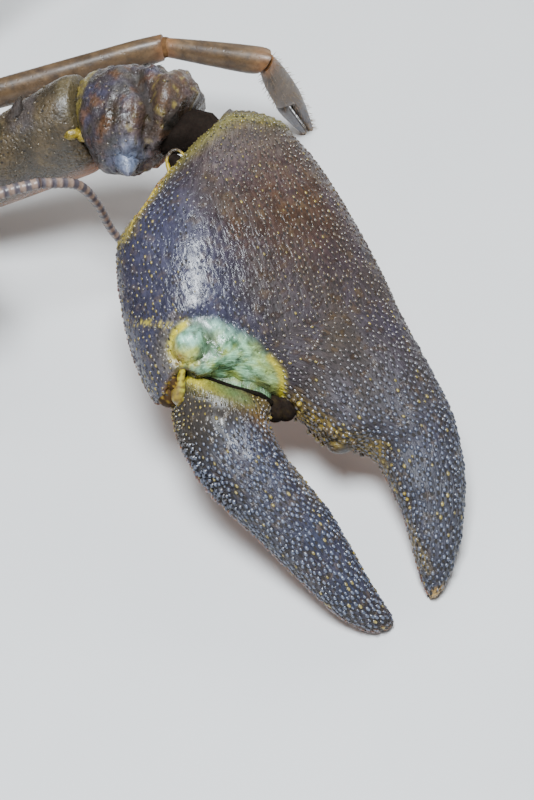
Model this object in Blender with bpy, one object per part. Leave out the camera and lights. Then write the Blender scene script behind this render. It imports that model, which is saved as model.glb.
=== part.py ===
"""A signal crayfish at life size, standing still with both claws resting in front of it.

The head points along -Y, +Z is up and the animal's left side is at +X. Sizes are in millimetres until
they are written to a mesh. Paired parts are shaped once, as on the left side, and turned over for the
right one. Every node is one closed solid, 0.3 mm clear of its neighbours.
"""

import math

import bmesh
import bpy
import numpy as np

MM = 0.001
GAP = 0.3
HALF_GAP = GAP / 2

# Driving sizes of the animal
CARAPACE_LENGTH = 69.0
FRONT_OF_HEAD = -53.0
GROOVE_Y = -24.5
GROOVE_SWEEP = 11.0
GROOVE_REACH = 15.0
STERNUM_Z = 9.8
CHELA_LENGTH = 70.6
CHELA_PITCH = 21.4
LEG_COUNT_AROUND = 8

SIDES = {"l": 1.0, "r": -1.0}


def curve(rows, t):
    """Smooth values between rows of (position, value, value, ...), with no overshoot."""
    rows = np.array(rows, float)
    x, y = rows[:, 0], rows[:, 1:]
    step = np.diff(x)[:, None]
    slope = np.diff(y, axis=0) / step
    tangent = np.zeros_like(y)
    rising = slope[:-1] * slope[1:] > 0
    total = np.where(rising, slope[:-1] + slope[1:], 1.0)
    tangent[1:-1] = np.where(rising, 2 * slope[:-1] * slope[1:] / total, 0.0)
    tangent[0], tangent[-1] = slope[0], slope[-1]
    t = np.clip(np.atleast_1d(np.asarray(t, float)), x[0], x[-1])
    i = np.clip(np.searchsorted(x, t, side="right") - 1, 0, len(x) - 2)
    u = ((t - x[i]) / step[i, 0])[:, None]
    rest = 1 - u
    return (
        y[i] * (1 + 2 * u) * rest**2
        + step[i] * tangent[i] * u * rest**2
        + y[i + 1] * u**2 * (3 - 2 * u)
        - step[i] * tangent[i + 1] * u**2 * rest
    )


def unit(v):
    v = np.asarray(v, float)
    return v / np.linalg.norm(v)


def rounded_ring(count, power=2.0):
    """Across and up shares, from -1 to 1, of a rounded section with this many corners."""
    angle = 2 * math.pi * (np.arange(count) + 0.5) / count
    across, up = np.cos(angle), np.sin(angle)
    return (
        np.sign(across) * np.abs(across) ** (2 / power),
        np.sign(up) * np.abs(up) ** (2 / power),
    )


def material(name, colour, roughness):
    made = bpy.data.materials.new(name)
    made.use_nodes = True
    shader = made.node_tree.nodes["Principled BSDF"]
    shader.inputs["Base Color"].default_value = (*colour, 1.0)
    shader.inputs["Roughness"].default_value = roughness
    shader.inputs["Metallic"].default_value = 0.0
    return made


def solid(name, rings, side=1.0, finish=None):
    """A closed object through rings of points in millimetres, closed by a fan at each end."""
    rings = np.asarray(rings, float)
    count, around = rings.shape[:2]
    points = np.concatenate([rings.reshape(-1, 3), rings[:1].mean(1), rings[-1:].mean(1)])
    points = points * (side, 1.0, 1.0) * MM
    faces = []
    for i in range(count - 1):
        for j in range(around):
            a, b = i * around + j, i * around + (j + 1) % around
            faces.append((a, b, b + around, a + around))
    first, last = count * around, count * around + 1
    end = (count - 1) * around
    for j in range(around):
        k = (j + 1) % around
        faces.append((first, k, j))
        faces.append((last, end + j, end + k))
    mesh = bpy.data.meshes.new(name)
    mesh.from_pydata([tuple(p) for p in points], [], faces)
    return place(name, mesh, finish)


def place(name, mesh, finish):
    """Puts a mesh in the scene with its faces pointing out and its corners still sharp."""
    work = bmesh.new()
    work.from_mesh(mesh)
    bmesh.ops.remove_doubles(work, verts=work.verts, dist=0.002 * MM)
    bmesh.ops.triangulate(work, faces=[f for f in work.faces if len(f.verts) > 3])
    bmesh.ops.recalc_face_normals(work, faces=work.faces)
    work.to_mesh(mesh)
    work.free()
    mesh.shade_smooth()
    mesh.set_sharp_from_angle(angle=math.radians(45))
    made = bpy.data.objects.new(name, mesh)
    if finish:
        mesh.materials.append(finish)
    bpy.context.scene.collection.objects.link(made)
    return made


def largest_surface(mesh):
    """Leaves only the biggest closed surface of a mesh."""
    work = bmesh.new()
    work.from_mesh(mesh)
    bmesh.ops.dissolve_degenerate(work, edges=work.edges, dist=0.004 * MM)
    seen, groups = set(), []
    for start in work.faces:
        if start in seen:
            continue
        group, queue = [], [start]
        seen.add(start)
        while queue:
            face = queue.pop()
            group.append(face)
            for edge in face.edges:
                for other in edge.link_faces:
                    if other not in seen:
                        seen.add(other)
                        queue.append(other)
        groups.append(group)
    groups.sort(key=lambda g: sum(f.calc_area() for f in g), reverse=True)
    for group in groups[1:]:
        bmesh.ops.delete(work, geom=group, context="FACES")
    bmesh.ops.triangulate(work, faces=[f for f in work.faces if len(f.verts) > 3])
    work.to_mesh(mesh)
    work.free()


def combine(base, others, operation="UNION", solver="EXACT"):
    """Joins the others to base, or cuts them from it, and removes them."""
    group = bpy.data.collections.new("helpers")
    for other in others:
        group.objects.link(other)
    modifier = base.modifiers.new("combine", "BOOLEAN")
    modifier.operation = operation
    modifier.operand_type = "COLLECTION"
    modifier.collection = group
    modifier.solver = solver
    graph = bpy.context.evaluated_depsgraph_get()
    mesh = bpy.data.meshes.new_from_object(base.evaluated_get(graph))
    base.modifiers.clear()
    base.data = mesh
    for other in others:
        bpy.data.objects.remove(other)
    bpy.data.collections.remove(group)
    largest_surface(mesh)
    mesh.shade_smooth()
    mesh.set_sharp_from_angle(angle=math.radians(45))
    return base


def spine(base, tip, radius, sides=6, side=1.0):
    """A tapering spine from base to tip, to be joined to the piece it grows from."""
    base, tip = np.array(base, float), np.array(tip, float)
    along = unit(tip - base)
    across = unit(np.cross(along, (0.3, 0.2, 1.0)))
    up = np.cross(across, along)
    c, s = rounded_ring(sides)
    rings = []
    for share, size in ((0.0, 1.0), (0.55, 0.62), (1.0, 0.1)):
        centre = base + (tip - base) * share
        rings.append(centre + radius * size * (np.outer(c, across) + np.outer(s, up)))
    return solid("spine", rings, side)


class Span:
    """A straight stretch of limb between two joints, whose ends lie in the joints' planes."""

    def __init__(self, start, end, up, start_plane=None, end_plane=None):
        self.start, self.end = np.array(start, float), np.array(end, float)
        self.length = np.linalg.norm(self.end - self.start)
        self.along = (self.end - self.start) / self.length
        self.across = unit(np.cross(self.along, up))
        self.up = np.cross(self.across, self.along)
        self.start_plane = self.along if start_plane is None else unit(start_plane)
        self.end_plane = self.along if end_plane is None else unit(end_plane)

    def slant(self, plane, across, up):
        """How far along the axis a joint's plane lies at this place across and up."""
        return -(across * (plane @ self.across) + up * (plane @ self.up)) / (plane @ self.along)

    def ring(self, share, across, up, trim=(0.0, 0.0)):
        """Points of a ring at this share of the length. trim draws the two ends in."""
        low = self.slant(self.start_plane, across, up) + trim[0]
        high = self.length + self.slant(self.end_plane, across, up) - trim[1]
        along = low + (high - low) * share
        return (
            self.start
            + np.outer(along, self.along)
            + np.outer(across, self.across)
            + np.outer(up, self.up)
        )


def limb_rings(span, rows, around, shares, power=2.2, trim=(0.0, 0.0), grow=0.0):
    """Rings of a limb piece. A row is share, half width, half height up, half height down."""
    c, s = rounded_ring(around, power)
    rings = []
    for share in shares:
        wide, high, low = curve(rows, share)[0] + grow
        rings.append(span.ring(share, wide * c, np.where(s > 0, high, low) * s, trim))
    return rings


def spans_through(joints, up, first_plane=None, last_plane=None):
    """Spans along a row of joints, each joint's plane halving its bend."""
    joints = [np.array(j, float) for j in joints]
    ways = [unit(b - a) for a, b in zip(joints, joints[1:])]
    planes = [first_plane] + [unit(a + b) for a, b in zip(ways, ways[1:])] + [last_plane]
    return [
        Span(a, b, up, planes[i], planes[i + 1])
        for i, (a, b) in enumerate(zip(joints, joints[1:]))
    ]


def resting(points):
    """Points no lower than the floor, so that what touches it has a small flat."""
    points = np.asarray(points, float).copy()
    points[..., 2] = np.maximum(points[..., 2], 0.0)
    return points


# Carapace: y, half width, top, bottom, height of the widest place
CARAPACE_ROWS = [
    (-53.0, 4.4, 31.2, 21.5, 26.5),
    (-52.2, 7.0, 32.2, 19.6, 26.0),
    (-50.5, 9.0, 33.2, 18.2, 25.5),
    (-46.0, 11.4, 34.8, 16.6, 25.0),
    (-40.0, 13.6, 36.6, 15.0, 24.0),
    (-33.0, 15.3, 38.1, 13.8, 23.0),
    (-24.0, 16.6, 39.0, 13.0, 22.3),
    (-12.0, 18.2, 38.7, 12.5, 21.5),
    (-5.0, 17.8, 37.4, 12.7, 21.5),
    (-1.5, 16.9, 36.0, 13.4, 21.5),
    (0.0, 15.7, 34.7, 14.2, 21.5),
]
CARAPACE_RINGS = [-53.0, -52.5, -51.2, -49.0, -46.0, -42.5, -39.0, -35.5, -32.0, -29.0, -26.8]
CARAPACE_RINGS += [-25.5, -24.5, -23.5, -22.2, -19.0, -15.5, -12.0, -8.5, -5.5, -3.0, -1.2, 0.0]
CARAPACE_AROUND = 26
GROOVE_DEPTH = 0.045

# Rostrum: y, half width, top, bottom
ROSTRUM_ROWS = [
    (-69.0, 0.25, 34.6, 34.0),
    (-66.0, 0.8, 34.0, 32.4),
    (-62.6, 1.7, 33.3, 31.0),
    (-61.0, 3.2, 33.1, 30.6),
    (-56.0, 3.7, 33.4, 30.0),
    (-50.0, 4.3, 34.3, 29.2),
    (-45.0, 4.6, 35.4, 29.2),
]


def carapace_ring(y, grow=0.0):
    """One ring of the carapace, swept forward down the sides where the cervical groove runs."""
    c, s = rounded_ring(CARAPACE_AROUND)
    sweep = GROOVE_SWEEP * np.where(s > 0, 1 - s, 1 + 0.2 * s) ** 1.3
    real_y = y - sweep * math.exp(-(((y - GROOVE_Y) / GROOVE_REACH) ** 2)) * min(1.0, -y / 6.0)
    wide, top, bottom, middle = curve(CARAPACE_ROWS, real_y).T
    depth = 1 - GROOVE_DEPTH * math.exp(-((y - GROOVE_Y) ** 2)) * (s > -0.6)
    s = np.where(s > 0, s, np.sign(s) * np.abs(s) ** 0.75)
    x = (wide + grow) * c * depth
    z = middle + np.where(s > 0, top - middle + grow, middle - bottom + grow) * s * depth
    return np.stack([x, real_y, z], -1)


def carapace_shell(grow=0.0):
    rings = [carapace_ring(y, grow) for y in CARAPACE_RINGS]
    rings[0][:, 1] -= grow
    rings[-1][:, 1] += grow
    return rings


def make_carapace(finish):
    shell = solid("carapace", carapace_shell(), finish=finish)
    c, s = rounded_ring(10, 2.6)
    rostrum = []
    for y in (-69.0, -67.5, -65.0, -62.6, -61.0, -58.0, -54.0, -50.0, -45.0):
        wide, top, bottom = curve(ROSTRUM_ROWS, y)[0]
        middle = (top + bottom) / 2
        dish = 0.35 * wide / 4 * (1 - np.abs(c)) * (s > 0)
        z = middle + (top - bottom) / 2 * s - dish
        rostrum.append(np.stack([wide * c, np.full(10, y), z], -1))
    pieces = [solid("rostrum", rostrum)]
    for side in SIDES.values():
        pieces.append(spine((2.6, -59.5, 32.0), (3.9, -64.2, 33.6), 0.9, 6, side))
        pieces.append(spine((6.6, -47.5, 32.6), (6.3, -51.6, 34.2), 0.9, 6, side))
        pieces.append(spine((7.9, -41.0, 34.0), (7.4, -44.2, 36.0), 0.8, 6, side))
        pieces.append(spine((9.0, -49.5, 27.5), (9.6, -53.4, 27.9), 1.0, 6, side))
    return combine(shell, pieces)


# Sternum: y, half width, top, bottom
STERNUM_ROWS = [
    (-43.5, 3.0, 17.0, 10.0),
    (-41.0, 3.8, 17.0, 8.2),
    (-35.0, 4.8, 17.0, 7.4),
    (-8.0, 6.2, 16.0, 7.4),
    (-2.5, 6.2, 16.0, 8.2),
    (-1.0, 5.4, 16.0, 9.5),
]


def make_sternum(finish):
    c, s = rounded_ring(16, 6.0)
    rings = []
    for y in (-43.5, -41.0, -37.0, -29.5, -22.0, -14.5, -7.5, -2.5, -1.0):
        wide, top, bottom = curve(STERNUM_ROWS, y)[0]
        z = (top + bottom) / 2 + (top - bottom) / 2 * s
        rings.append(np.stack([wide * c, np.full(16, y), z], -1))
    base = solid("sternum", rings, finish=finish)
    return combine(base, [solid("cutter", carapace_shell(GAP))], "DIFFERENCE")


def leg_root(y):
    """Where a leg leaves the sternum's flat side."""
    return np.array([curve(STERNUM_ROWS, y + 3.6)[0][0] + GAP, y, STERNUM_Z])


# Walking legs: heading from straight out, in degrees forward, and the size of each pair
LEG_ROWS = {"l": {}, "r": {}}
LEG_ROOTS = {2: -29.5, 3: -22.0, 4: -14.5, 5: -7.5}
LEG_HEADINGS = {"l": {3: -13.0, 4: -31.0, 5: -52.0}, "r": {2: 20.0, 3: -3.0, 4: -24.0, 5: -47.0}}
LEG_SIZES = {2: 1.0, 3: 1.06, 4: 1.02, 5: 1.0}
# Out from the root and up from the floor, for each joint of a standing leg
LEG_REACH = [(0.0, 9.8), (6.8, 9.0), (17.0, 12.0), (34.5, 27.5), (44.5, 25.0), (52.5, 8.5), (55.0, 0.0)]
STRETCHED_LEG = [
    (12.2, -31.2, 10.2),
    (22.4, -34.2, 13.4),
    (52.5, -42.8, 19.5),
    (63.4, -52.1, 20.0),
    (69.0, -50.6, 8.0),
    (71.5, -49.8, 0.0),
]
# Share of each leg piece, half width, half height up and down
COXA = [(0.0, 2.5, 2.2, 2.2), (0.5, 2.9, 2.5, 2.4), (1.0, 2.3, 2.1, 2.1)]
ISCHIUM = [(0.0, 1.8, 1.9, 1.9), (0.5, 2.0, 2.1, 2.1), (1.0, 1.9, 2.0, 2.0)]
MERUS = [(0.0, 1.4, 1.7, 1.7), (0.3, 1.7, 2.4, 2.1), (0.85, 1.6, 2.4, 2.2), (1.0, 1.5, 2.1, 1.9)]
CARPUS = [(0.0, 1.2, 1.4, 1.4), (0.5, 1.6, 1.9, 1.7), (0.9, 1.8, 2.1, 1.9), (1.0, 1.6, 1.8, 1.7)]
PROPODUS = [(0.0, 1.2, 1.3, 1.3), (0.2, 1.5, 1.7, 1.6), (0.8, 1.2, 1.3, 1.3), (1.0, 1.0, 1.1, 1.1)]
DACTYL = [(0.0, 0.85, 0.9, 0.9), (0.3, 0.85, 0.95, 0.95), (0.8, 0.55, 0.6, 0.6), (1.0, 0.4, 0.45, 0.45)]
PINCER_PALM = [(0.0, 1.3, 1.3, 1.3), (0.25, 1.6, 1.9, 1.9), (0.5, 1.5, 2.1, 2.0), (0.56, 1.4, 2.0, 0.4),
               (0.75, 1.1, 1.6, 0.1), (0.92, 0.8, 1.1, -0.1), (1.0, 0.55, 0.85, -0.2)]
PINCER_FINGER = [(0.5, 1.0, 0.3, 1.6), (0.56, 1.2, -0.5, 2.1), (0.75, 1.0, -0.4, 1.7), (0.92, 0.7, -0.3, 1.2),
                 (1.0, 0.5, -0.25, 0.9)]
BEND_SHARES = (0.0, 0.12, 0.5, 0.86, 1.0)


def leg_joints(side, pair):
    """The seven joints of a walking leg, from the sternum to the floor, as on the left."""
    root = leg_root(LEG_ROOTS[pair])
    if (side, pair) == ("l", 2):
        return [root] + [np.array(p) for p in STRETCHED_LEG]
    heading = math.radians(LEG_HEADINGS[side][pair])
    out = np.array([math.cos(heading), -math.sin(heading), 0.0])
    joints = []
    for reach, height in LEG_REACH:
        turn = min(1.0, reach / 17.0)
        way = unit(out * turn + np.array([1.0, 0.0, 0.0]) * (1 - turn))
        joints.append(root + way * reach * LEG_SIZES[pair] + (0, 0, height - STERNUM_Z))
    return joints


def make_leg(side, pair, finish):
    turned = SIDES[side]
    joints = leg_joints(side, pair)
    spans = spans_through(joints, (0, 0, 1), (1, 0, 0), (0, 0, -1))
    around = LEG_COUNT_AROUND
    upper = limb_rings(spans[0], COXA, around, (0.0, 0.5, 1.0), trim=(0.0, 0.0))
    upper += limb_rings(spans[1], ISCHIUM, around, (0.04, 0.5, 1.0))
    upper += limb_rings(spans[2], MERUS, around, (0.03, 0.3, 0.85, 1.0), trim=(0.0, HALF_GAP))
    solid(f"leg{pair}_{side}_upper", upper, turned, finish)
    lower = limb_rings(spans[3], CARPUS, around, (0.0, 0.5, 0.9, 1.0), trim=(HALF_GAP, 0.0))
    if pair > 3:
        lower += limb_rings(spans[4], PROPODUS, around, (0.04, 0.2, 0.8, 1.0))
        lower += limb_rings(spans[5], DACTYL, around, (0.05, 0.3, 0.8, 1.0))
        solid(f"leg{pair}_{side}_lower", resting(lower), turned, finish)
        return
    palm = Span(joints[4], joints[6], (0, 0, 1), spans[3].end_plane, (0, 0, -1))
    lower += pincer_rings(palm, PINCER_PALM, around, (0.02, 0.25, 0.5, 0.56, 0.75, 0.92, 1.0))
    base = solid(f"leg{pair}_{side}_lower", resting(lower), turned, finish)
    finger = pincer_rings(palm, PINCER_FINGER, around, (0.5, 0.56, 0.75, 0.92, 0.99))
    combine(base, [solid("finger", resting(finger), turned)])


def pincer_rings(span, rows, around, shares):
    """Rings of one finger of a small pincer, whose lower side may lie above the axis."""
    c, s = rounded_ring(around)
    rings = []
    for share in shares:
        wide, high, low = curve(rows, share)[0]
        middle, half = (high - low) / 2, (high + low) / 2
        rings.append(span.ring(share, wide * c, middle + half * s))
    return rings


# Chelipeds: joints and the claw's own frame, as on the left
ARM_ROOT_Y = -37.0
ARM_JOINTS = {
    "l": [(9.2, -41.2, 10.0), (14.8, -47.8, 12.6), (36.1, -55.2, 24.5)],
    "r": [(9.2, -41.2, 10.0), (14.8, -47.8, 12.6), (34.6, -57.8, 24.5)],
}
WRISTS = {"l": (48.4, -64.2, 27.5), "r": (45.4, -68.4, 27.5)}
CLAW_YAWS = {"l": -0.3, "r": -13.0}
CLAW_ROLL = 3.0
WRIST_PLACE = (1.1, 2.6, -0.2)
ARM_BASE = [(0.0, 3.6, 3.3, 3.0), (0.5, 4.0, 3.6, 3.2), (1.0, 3.7, 3.4, 3.2)]
ARM_ISCHIUM = [(0.0, 3.4, 3.3, 3.2), (1.0, 3.5, 4.2, 4.0)]
ARM_MERUS = [(0.0, 3.3, 4.0, 4.0), (0.25, 4.2, 5.4, 5.2), (0.75, 5.0, 7.2, 6.6), (0.93, 5.2, 7.6, 7.0),
             (1.0, 4.8, 7.0, 6.6)]
ARM_CARPUS = [(0.0, 4.8, 5.4, 4.6), (0.12, 6.2, 6.6, 4.8), (0.4, 7.5, 7.8, 5.0), (0.65, 7.3, 7.8, 5.0),
              (0.85, 6.3, 7.2, 5.2), (1.0, 4.6, 5.4, 4.8)]
SOCKET_DEPTH = 1.5
# The neck between carpus and palm points at this place in the claw
NECK_AIM = (11.0, -1.2, -0.5)

# Palm and fixed finger: place, then the outer edge and the inner edge as (along, towards the midline),
# then half thickness above, half thickness below, lean of the crest, and drop of the middle
PALM_ROWS = [
    (0.00, 0.4, -3.4, 2.2, -0.2, 3.2, 3.0, 0.0, -0.4),
    (0.04, 0.8, -3.6, 3.5, 1.0, 3.5, 3.3, 0.0, -0.2),
    (0.08, 1.4, -4.8, 4.4, 3.8, 4.5, 4.0, 0.05, 0.0),
    (0.13, 3.6, -8.0, 6.0, 7.6, 5.9, 4.9, 0.1, 0.0),
    (0.19, 7.0, -9.7, 8.7, 12.8, 7.3, 6.1, 0.15, 0.0),
    (0.27, 12.0, -11.1, 12.0, 17.8, 8.4, 7.2, 0.2, 0.0),
    (0.36, 18.0, -11.9, 18.3, 20.4, 9.0, 7.8, 0.2, 0.0),
    (0.45, 24.0, -12.3, 24.5, 21.9, 8.7, 7.6, 0.2, 0.0),
    (0.52, 29.0, -12.5, 29.5, 22.4, 7.9, 7.0, 0.15, 0.0),
    (0.56, 31.5, -12.5, 33.0, 22.0, 7.2, 6.4, 0.1, 0.0),
    (0.60, 33.5, -12.4, 33.2, 17.0, 6.8, 6.0, 0.1, 0.0),
    (0.64, 36.0, -12.4, 35.5, 12.0, 6.4, 5.6, 0.1, 0.0),
    (0.69, 39.5, -12.5, 39.0, 7.2, 5.9, 5.2, 0.05, 0.0),
    (0.74, 43.0, -12.6, 43.1, 5.1, 5.6, 4.9, 0.0, 0.0),
    (0.78, 46.0, -12.7, 46.4, 3.6, 5.3, 4.7, 0.0, 0.0),
    (0.81, 48.5, -12.6, 48.6, 0.1, 5.1, 4.5, 0.0, 0.0),
    (0.85, 52.0, -12.0, 51.5, -1.5, 4.7, 4.2, 0.0, -0.1),
    (0.90, 57.0, -10.4, 57.0, -1.5, 4.0, 3.6, 0.0, -0.2),
    (0.95, 63.5, -6.8, 62.8, -0.6, 3.0, 2.6, 0.0, -0.6),
    (0.985, 67.8, -2.9, 67.0, 0.0, 1.8, 1.8, 0.0, -1.0),
    (1.00, 69.2, -0.9, 69.0, -0.1, 0.8, 1.0, 0.0, -1.4),
]
DACTYL_ROWS = [
    (0.00, 28.6, 16.0, 34.6, 6.6, 3.6, 3.4, 0.0, 0.0),
    (0.06, 31.6, 18.7, 37.6, 8.0, 4.4, 4.0, 0.0, 0.0),
    (0.12, 34.6, 20.4, 39.3, 9.0, 4.9, 4.4, 0.0, 0.0),
    (0.20, 38.5, 21.3, 41.8, 10.4, 5.2, 4.6, 0.0, 0.0),
    (0.30, 43.0, 21.0, 44.7, 10.5, 5.1, 4.6, 0.0, 0.0),
    (0.42, 49.0, 19.3, 50.0, 9.3, 4.8, 4.3, 0.0, 0.0),
    (0.55, 54.8, 17.0, 55.0, 8.0, 4.3, 3.9, 0.0, 0.0),
    (0.68, 60.2, 14.8, 60.0, 7.4, 3.5, 3.3, 0.0, -0.2),
    (0.80, 64.6, 13.0, 64.0, 6.9, 2.7, 2.6, 0.0, -0.5),
    (0.90, 68.2, 10.8, 67.3, 6.3, 1.9, 1.9, 0.0, -0.9),
    (0.96, 70.0, 8.7, 69.2, 5.9, 1.2, 1.3, 0.0, -1.2),
    (1.00, 70.6, 6.9, 70.2, 6.0, 0.6, 0.8, 0.0, -1.6),
]
PALM_AROUND = 20
DACTYL_AROUND = 14
PALM_TEETH = [(41.2, 5.2, 1.3), (46.2, 2.8, 1.9), (51.5, -2.3, 0.9), (55.0, -2.2, 0.8), (59.0, -1.8, 0.7)]
DACTYL_TEETH = [(42.5, 11.0, 1.0), (46.5, 10.6, 1.2), (51.0, 9.4, 0.9), (55.5, 8.6, 0.8), (60.0, 7.9, 0.7)]


class ClawFrame:
    """A claw's own directions: along to the tips, towards the animal's midline, and up."""

    def __init__(self, side):
        yaw, pitch = math.radians(CLAW_YAWS[side]), math.radians(CHELA_PITCH)
        roll = math.radians(CLAW_ROLL)
        level = np.array([math.sin(yaw), -math.cos(yaw), 0.0])
        self.along = level * math.cos(pitch) - np.array([0, 0, 1.0]) * math.sin(pitch)
        inward = -np.cross((0, 0, 1.0), level)
        lift = np.cross(inward, self.along)
        self.inward = inward * math.cos(roll) + lift * math.sin(roll)
        self.up = -inward * math.sin(roll) + lift * math.cos(roll)
        self.origin = np.array(WRISTS[side])

    def point(self, along, inward, up):
        return (
            self.origin
            + np.multiply.outer(along, self.along)
            + np.multiply.outer(inward, self.inward)
            + np.multiply.outer(up, self.up)
        )


def blade_rings(frame, rows, shares, around, grow=0.0):
    """Rings of a finger or palm between its outer and inner edges."""
    c, s = rounded_ring(around, 2.25)
    rings = []
    for share in shares:
        ou, ov, iu, iv, top, bottom, lean, drop = curve(rows, share)[0]
        half = np.array([iu - ou, iv - ov]) / 2
        half = half * (1 + grow / np.linalg.norm(half))
        along = (ou + iu) / 2 + half[0] * c
        inward = (ov + iv) / 2 + half[1] * c
        up = drop + np.where(s > 0, top + grow, bottom + grow) * s * (1 + lean * c)
        rings.append(frame.point(along, inward, up))
    return rings


def claw_tooth(frame, place, outward, side):
    """A blunt tooth on a finger's inner edge."""
    along, inward, size = place
    base = frame.point(along - 0.6 * size * abs(outward), inward - 1.8 * size * outward, -0.4)
    tip = frame.point(along + 0.2, inward + 0.75 * size * outward, -0.5)
    return spine(base, tip, 1.35 * size, 7, side)


PALM_SHARES = (0.0, 0.04, 0.08, 0.13, 0.19, 0.26, 0.33, 0.4, 0.46, 0.52, 0.56, 0.6, 0.64, 0.69, 0.74, 0.78,
               0.81, 0.85, 0.9, 0.94, 0.97, 1.0)
DACTYL_SHARES = (0.0, 0.06, 0.12, 0.2, 0.3, 0.42, 0.55, 0.68, 0.8, 0.9, 0.96, 1.0)


def make_claw(side, finish):
    """Base, merus, carpus, palm with its fixed finger, and the finger that moves."""
    turned = SIDES[side]
    frame = ClawFrame(side)
    wrist = frame.point(*WRIST_PLACE)
    root = leg_root(ARM_ROOT_Y)
    joints = [root] + [np.array(p) for p in ARM_JOINTS[side]] + [wrist]
    knee_up = (0, 0, 1)
    spans = spans_through(joints + [wrist + 10 * frame.along], knee_up, (1, 0, 0))
    around = 12
    base = limb_rings(spans[0], ARM_BASE, around, (0.0, 0.5, 1.0))
    base += limb_rings(spans[1], ARM_ISCHIUM, around, (0.08, 1.0), trim=(0.0, HALF_GAP))
    base = solid(f"cheliped_{side}_base", base, turned, finish)
    combine(base, [solid("cutter", carapace_shell(GAP))], "DIFFERENCE")
    merus = limb_rings(spans[2], ARM_MERUS, 14, (0.0, 0.12, 0.3, 0.55, 0.78, 0.93, 1.0),
                       trim=(HALF_GAP, HALF_GAP))
    merus = solid(f"cheliped_{side}_merus", merus, turned, finish)
    far, top = spans[2], spans[2].up
    combine(merus, [
        spine(far.start + far.along * 17 + top * 6.0, far.start + far.along * 20.4 + top * 9.4, 1.2, 6, turned),
        spine(far.start + far.along * 17 - top * 5.0, far.start + far.along * 20.6 - top * 8.6, 1.2, 6, turned),
    ])
    carpus = limb_rings(spans[3], ARM_CARPUS, 18, (0.0, 0.12, 0.28, 0.45, 0.63, 0.8, 0.95, 1.0),
                        trim=(HALF_GAP, SOCKET_DEPTH))
    carpus = solid(f"cheliped_{side}_carpus", carpus, turned, finish)
    neck_start = wrist - (SOCKET_DEPTH + 2.4) * spans[3].along
    combine(carpus, [spine(neck_start, frame.point(*NECK_AIM), 4.7, 10, turned)])
    back = GAP * unit(0.56 * frame.inward - 0.83 * frame.along)
    socket = [ring + back for ring in blade_rings(frame, PALM_ROWS, PALM_SHARES, PALM_AROUND, GAP)]
    combine(carpus, [solid("socket", socket, turned)], "DIFFERENCE")
    arm = spans[3]
    inner = arm.across
    combine(carpus, [
        spine(arm.start + arm.along * 7.0 + inner * 6.2, arm.start + arm.along * 9.0 + inner * 9.4, 1.5, 7, turned),
    ])
    palm = blade_rings(frame, PALM_ROWS, PALM_SHARES, PALM_AROUND)
    palm = solid(f"cheliped_{side}_palm", resting(palm), turned, finish)
    combine(palm, [claw_tooth(frame, t, 1.0, turned) for t in PALM_TEETH])
    finger = blade_rings(frame, DACTYL_ROWS, DACTYL_SHARES, DACTYL_AROUND)
    finger = solid(f"cheliped_{side}_dactyl", resting(finger), turned, finish)
    combine(finger, [claw_tooth(frame, t, -1.0, turned) for t in DACTYL_TEETH])
    cutter = blade_rings(frame, PALM_ROWS, PALM_SHARES, PALM_AROUND, GAP)
    combine(finger, [solid("cutter", cutter, turned)], "DIFFERENCE")


# Abdomen: joints between its six rings and the telson, as y and height of the middle
TAIL_JOINTS = [(0.0, 25.0), (4.6, 24.4), (13.0, 22.4), (21.6, 19.3), (30.0, 15.6), (38.0, 11.8), (46.4, 8.3)]
# half width, half height up, half height down at each joint
TAIL_SIZES = [(13.6, 9.2, 6.4), (14.2, 9.6, 6.6), (14.8, 9.6, 6.6), (14.4, 9.0, 6.2), (13.5, 8.2, 5.6),
              (12.4, 7.2, 5.0), (10.8, 5.6, 4.2)]


def tail_pieces(index, span, side):
    """The side plate and the swimmeret on one side of an abdomen ring."""
    wide, high, low = TAIL_SIZES[index]
    pieces = []
    middle = span.start + span.along * span.length * 0.5
    c, s = rounded_ring(8)
    drop = 7.6 if 0 < index < 5 else 4.6
    half_long = span.length * (0.52 if index else 0.42)
    rings = []
    for share, size, back in ((0.0, 0.9, 0.0), (0.35, 1.0, 0.0), (0.7, 0.72, 1.2), (1.0, 0.18, 2.6)):
        centre = middle + np.array([wide * 0.97 - 1.2 + 0.9 * share, 0, 0]) - span.up * (1.0 + (drop + low * 0.5) * share)
        centre = centre + span.along * back
        long = half_long * size
        rings.append(centre + np.outer(c * long, span.along) + np.outer(s * 0.75, (1.0, 0, 0)))
    pieces.append(solid("pleuron", rings, side))
    if 0 < index < 5:
        root = middle + np.array([wide * 0.52, 0, 0]) - span.up * (low - 1.0)
        for out, back, length in ((0.3, 0.35, 9.0), (-0.15, 0.55, 8.0)):
            way = unit(-span.up * 0.9 + span.along * back + np.array([out, 0, 0]))
            flat = unit(np.cross(way, (1.0, 0, 0)))
            blade = []
            for share, size in ((0.0, 0.5), (0.3, 0.75), (0.65, 1.0), (0.9, 0.7), (1.0, 0.25)):
                centre = root + way * length * share * (1 - 0.08 * index)
                blade.append(centre + np.outer(c * 1.6 * size, (1.0, 0, 0)) + np.outer(s * 0.42, flat))
            pieces.append(solid("swimmeret", blade, side))
    return pieces


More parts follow.
